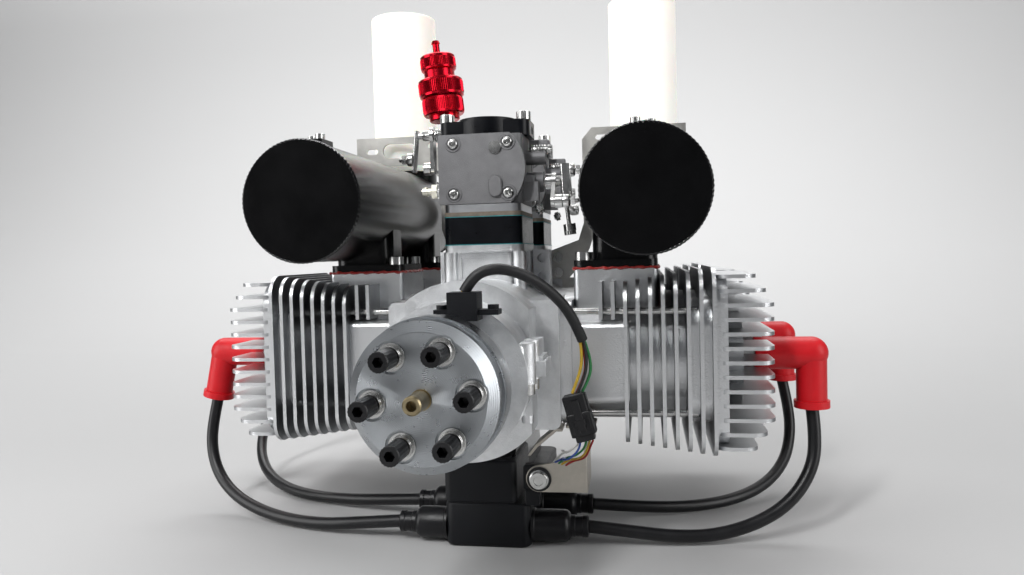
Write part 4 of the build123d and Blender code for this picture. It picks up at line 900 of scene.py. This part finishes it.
# ---- castings -------------------------------------------------------------
def make_casting_details():
    """Raised frames, screw columns and stepped lugs on the castings."""
    cast = Shape()
    for pair, y in PAIR_Y.items():
        # raised frame on the intake tower's front
        frame_face = Matrix.Translation((0, y - 20.6, 0)) @ Matrix.Rotation(math.pi / 2, 4, "X")
        for low, high in (((-15.5, 33), (-13.3, 59.5)), ((13.3, 33), (15.5, 59.5)),
                          ((-13.5, 57.4), (13.5, 59.5))):
            cast.prism([low, (high[0], low[1]), high, (low[0], high[1])], 0, 1.5, frame_face)
    for side in BANKS.values():
        # screw columns and stepped lugs on each side of the nose
        cast.lathe([(0, -2.2), (3.5, -2.2), (3.5, 14.6), (3.1, 16.0), (2.0, 16.8), (0, 17.0)],
                   Matrix.Translation((side * 32.6, -286.5, 0)), 36)
        for low, high in (((24, -285.5, -2.0), (33.2, -280, 14.2)),
                          ((26, -270, 6.6), (41.5, -252, 8.8)),
                          ((28, -272, -0.6), (43.0, -250, 6.6)),
                          ((34, -266, 8.8), (39.5, -250, 16.4)),
                          ((29, -268, -20.5), (35.5, -250, -0.6))):
            cast.block((min(side * low[0], side * high[0]), low[1], low[2]),
                       (max(side * low[0], side * high[0]), high[1], high[2]))
        for y, z in ((-286.5, -2.6), (-264, -20.5)):
            cast.ring(toward((side * 32.6, y, z), (0, 0, -1)), 1.5, 3.0, 4.4)
    cast.make("casting_relief", "engine", "cast_aluminium", round_edges=0.5)


make_casting_details()


# ---- floor and light ------------------------------------------------------
BASE_Z = -101.0
HALF_WIDTH = 3000
FLOOR_FRONT_Y = -1500
BEND_START_Y = 700
BEND_R = 900
BEND_STEPS = 12
WALL_TOP = 2600


def studio_paper_painted_light():
    """Pale backdrop paper whose colour grows lighter towards the wall, a painted light that stands
    in for the wall's brighter lighting.
    """
    made = shader("studio_floor_painted_light", (0.5, 0.5, 0.5), 0, 0.6, 0.01, 3, 0.03)
    nodes, links = made.node_tree.nodes, made.node_tree.links
    split = nodes.new("ShaderNodeSeparateXYZ")
    links.new(nodes.new("ShaderNodeTexCoord").outputs["Object"], split.inputs["Vector"])
    # painted light: base colour from 0.40 at the front to 0.52 towards the wall
    tone = nodes.new("ShaderNodeMapRange")
    for socket, value in (("From Min", 0.0), ("From Max", 1.2), ("To Min", 0.40),
                          ("To Max", 0.52)):
        tone.inputs[socket].default_value = value
    links.new(split.outputs["Y"], tone.inputs["Value"])
    links.new(tone.outputs["Result"], nodes["Principled BSDF"].inputs["Base Color"])
    return made


def make_floor():
    """Floor that curves up into a wall behind the engine."""
    shape = Shape()
    rows = [(FLOOR_FRONT_Y, 0.0), (BEND_START_Y, 0.0)]
    for i in range(1, BEND_STEPS + 1):
        angle = math.pi / 2 / BEND_STEPS * i
        rows.append((BEND_START_Y + BEND_R * math.sin(angle), BEND_R * (1 - math.cos(angle))))
    rows.append((BEND_START_Y + BEND_R, WALL_TOP))
    points, faces = [], []
    for y, z in rows:
        points += [(-HALF_WIDTH, y, z + BASE_Z), (HALF_WIDTH, y, z + BASE_Z)]
    for i in range(len(rows) - 1):
        faces.append([2 * i, 2 * i + 1, 2 * i + 3, 2 * i + 2])
    shape.add(points, faces)
    mesh = bpy.data.meshes.new("floor")
    mesh.from_pydata([p * MM for p in shape.points], [], shape.faces)
    mesh.shade_smooth()
    mesh.materials.append(studio_paper_painted_light())
    floor = bpy.data.objects.new("floor", mesh)
    bpy.context.scene.collection.objects.link(floor)


def area_light(name, place, target, size, power):
    """Rectangular lamp, in metres and watts."""
    data = bpy.data.lights.new(name, "AREA")
    data.shape = "RECTANGLE"
    data.size, data.size_y = size
    data.energy = power
    lamp = bpy.data.objects.new(name, data)
    bpy.context.scene.collection.objects.link(lamp)
    lamp.location = place
    away = Vector(target) - Vector(place)
    lamp.rotation_euler = away.to_track_quat("-Z", "Y").to_euler()


make_floor()
area_light("left_softbox", (-1.25, -0.85, 0.45), (0, -0.2, 0.03), (0.9, 1.3), 14)
area_light("right_softbox", (1.35, -0.75, 0.5), (0, -0.2, 0.03), (0.7, 1.2), 11)
area_light("hub_strip", (-0.30, -1.05, 0.85), (0, -0.34, 0), (0.10, 0.5), 10)
area_light("overhead", (0, -0.1, 1.5), (0, -0.15, 0), (1.6, 1.0), 4)
area_light("backdrop", (-0.4, 0.95, 2.2), (-0.5, 1.7, 0.2), (3.4, 0.9), 72)
world = bpy.data.worlds.new("studio")
bpy.context.scene.world = world
world.use_nodes = True
world.node_tree.nodes["Background"].inputs["Color"].default_value = (0.93, 0.95, 1.0, 1)
world.node_tree.nodes["Background"].inputs["Strength"].default_value = 0.11
bpy.context.scene.view_settings.view_transform = "Standard"

bpy.context.view_layer.update()
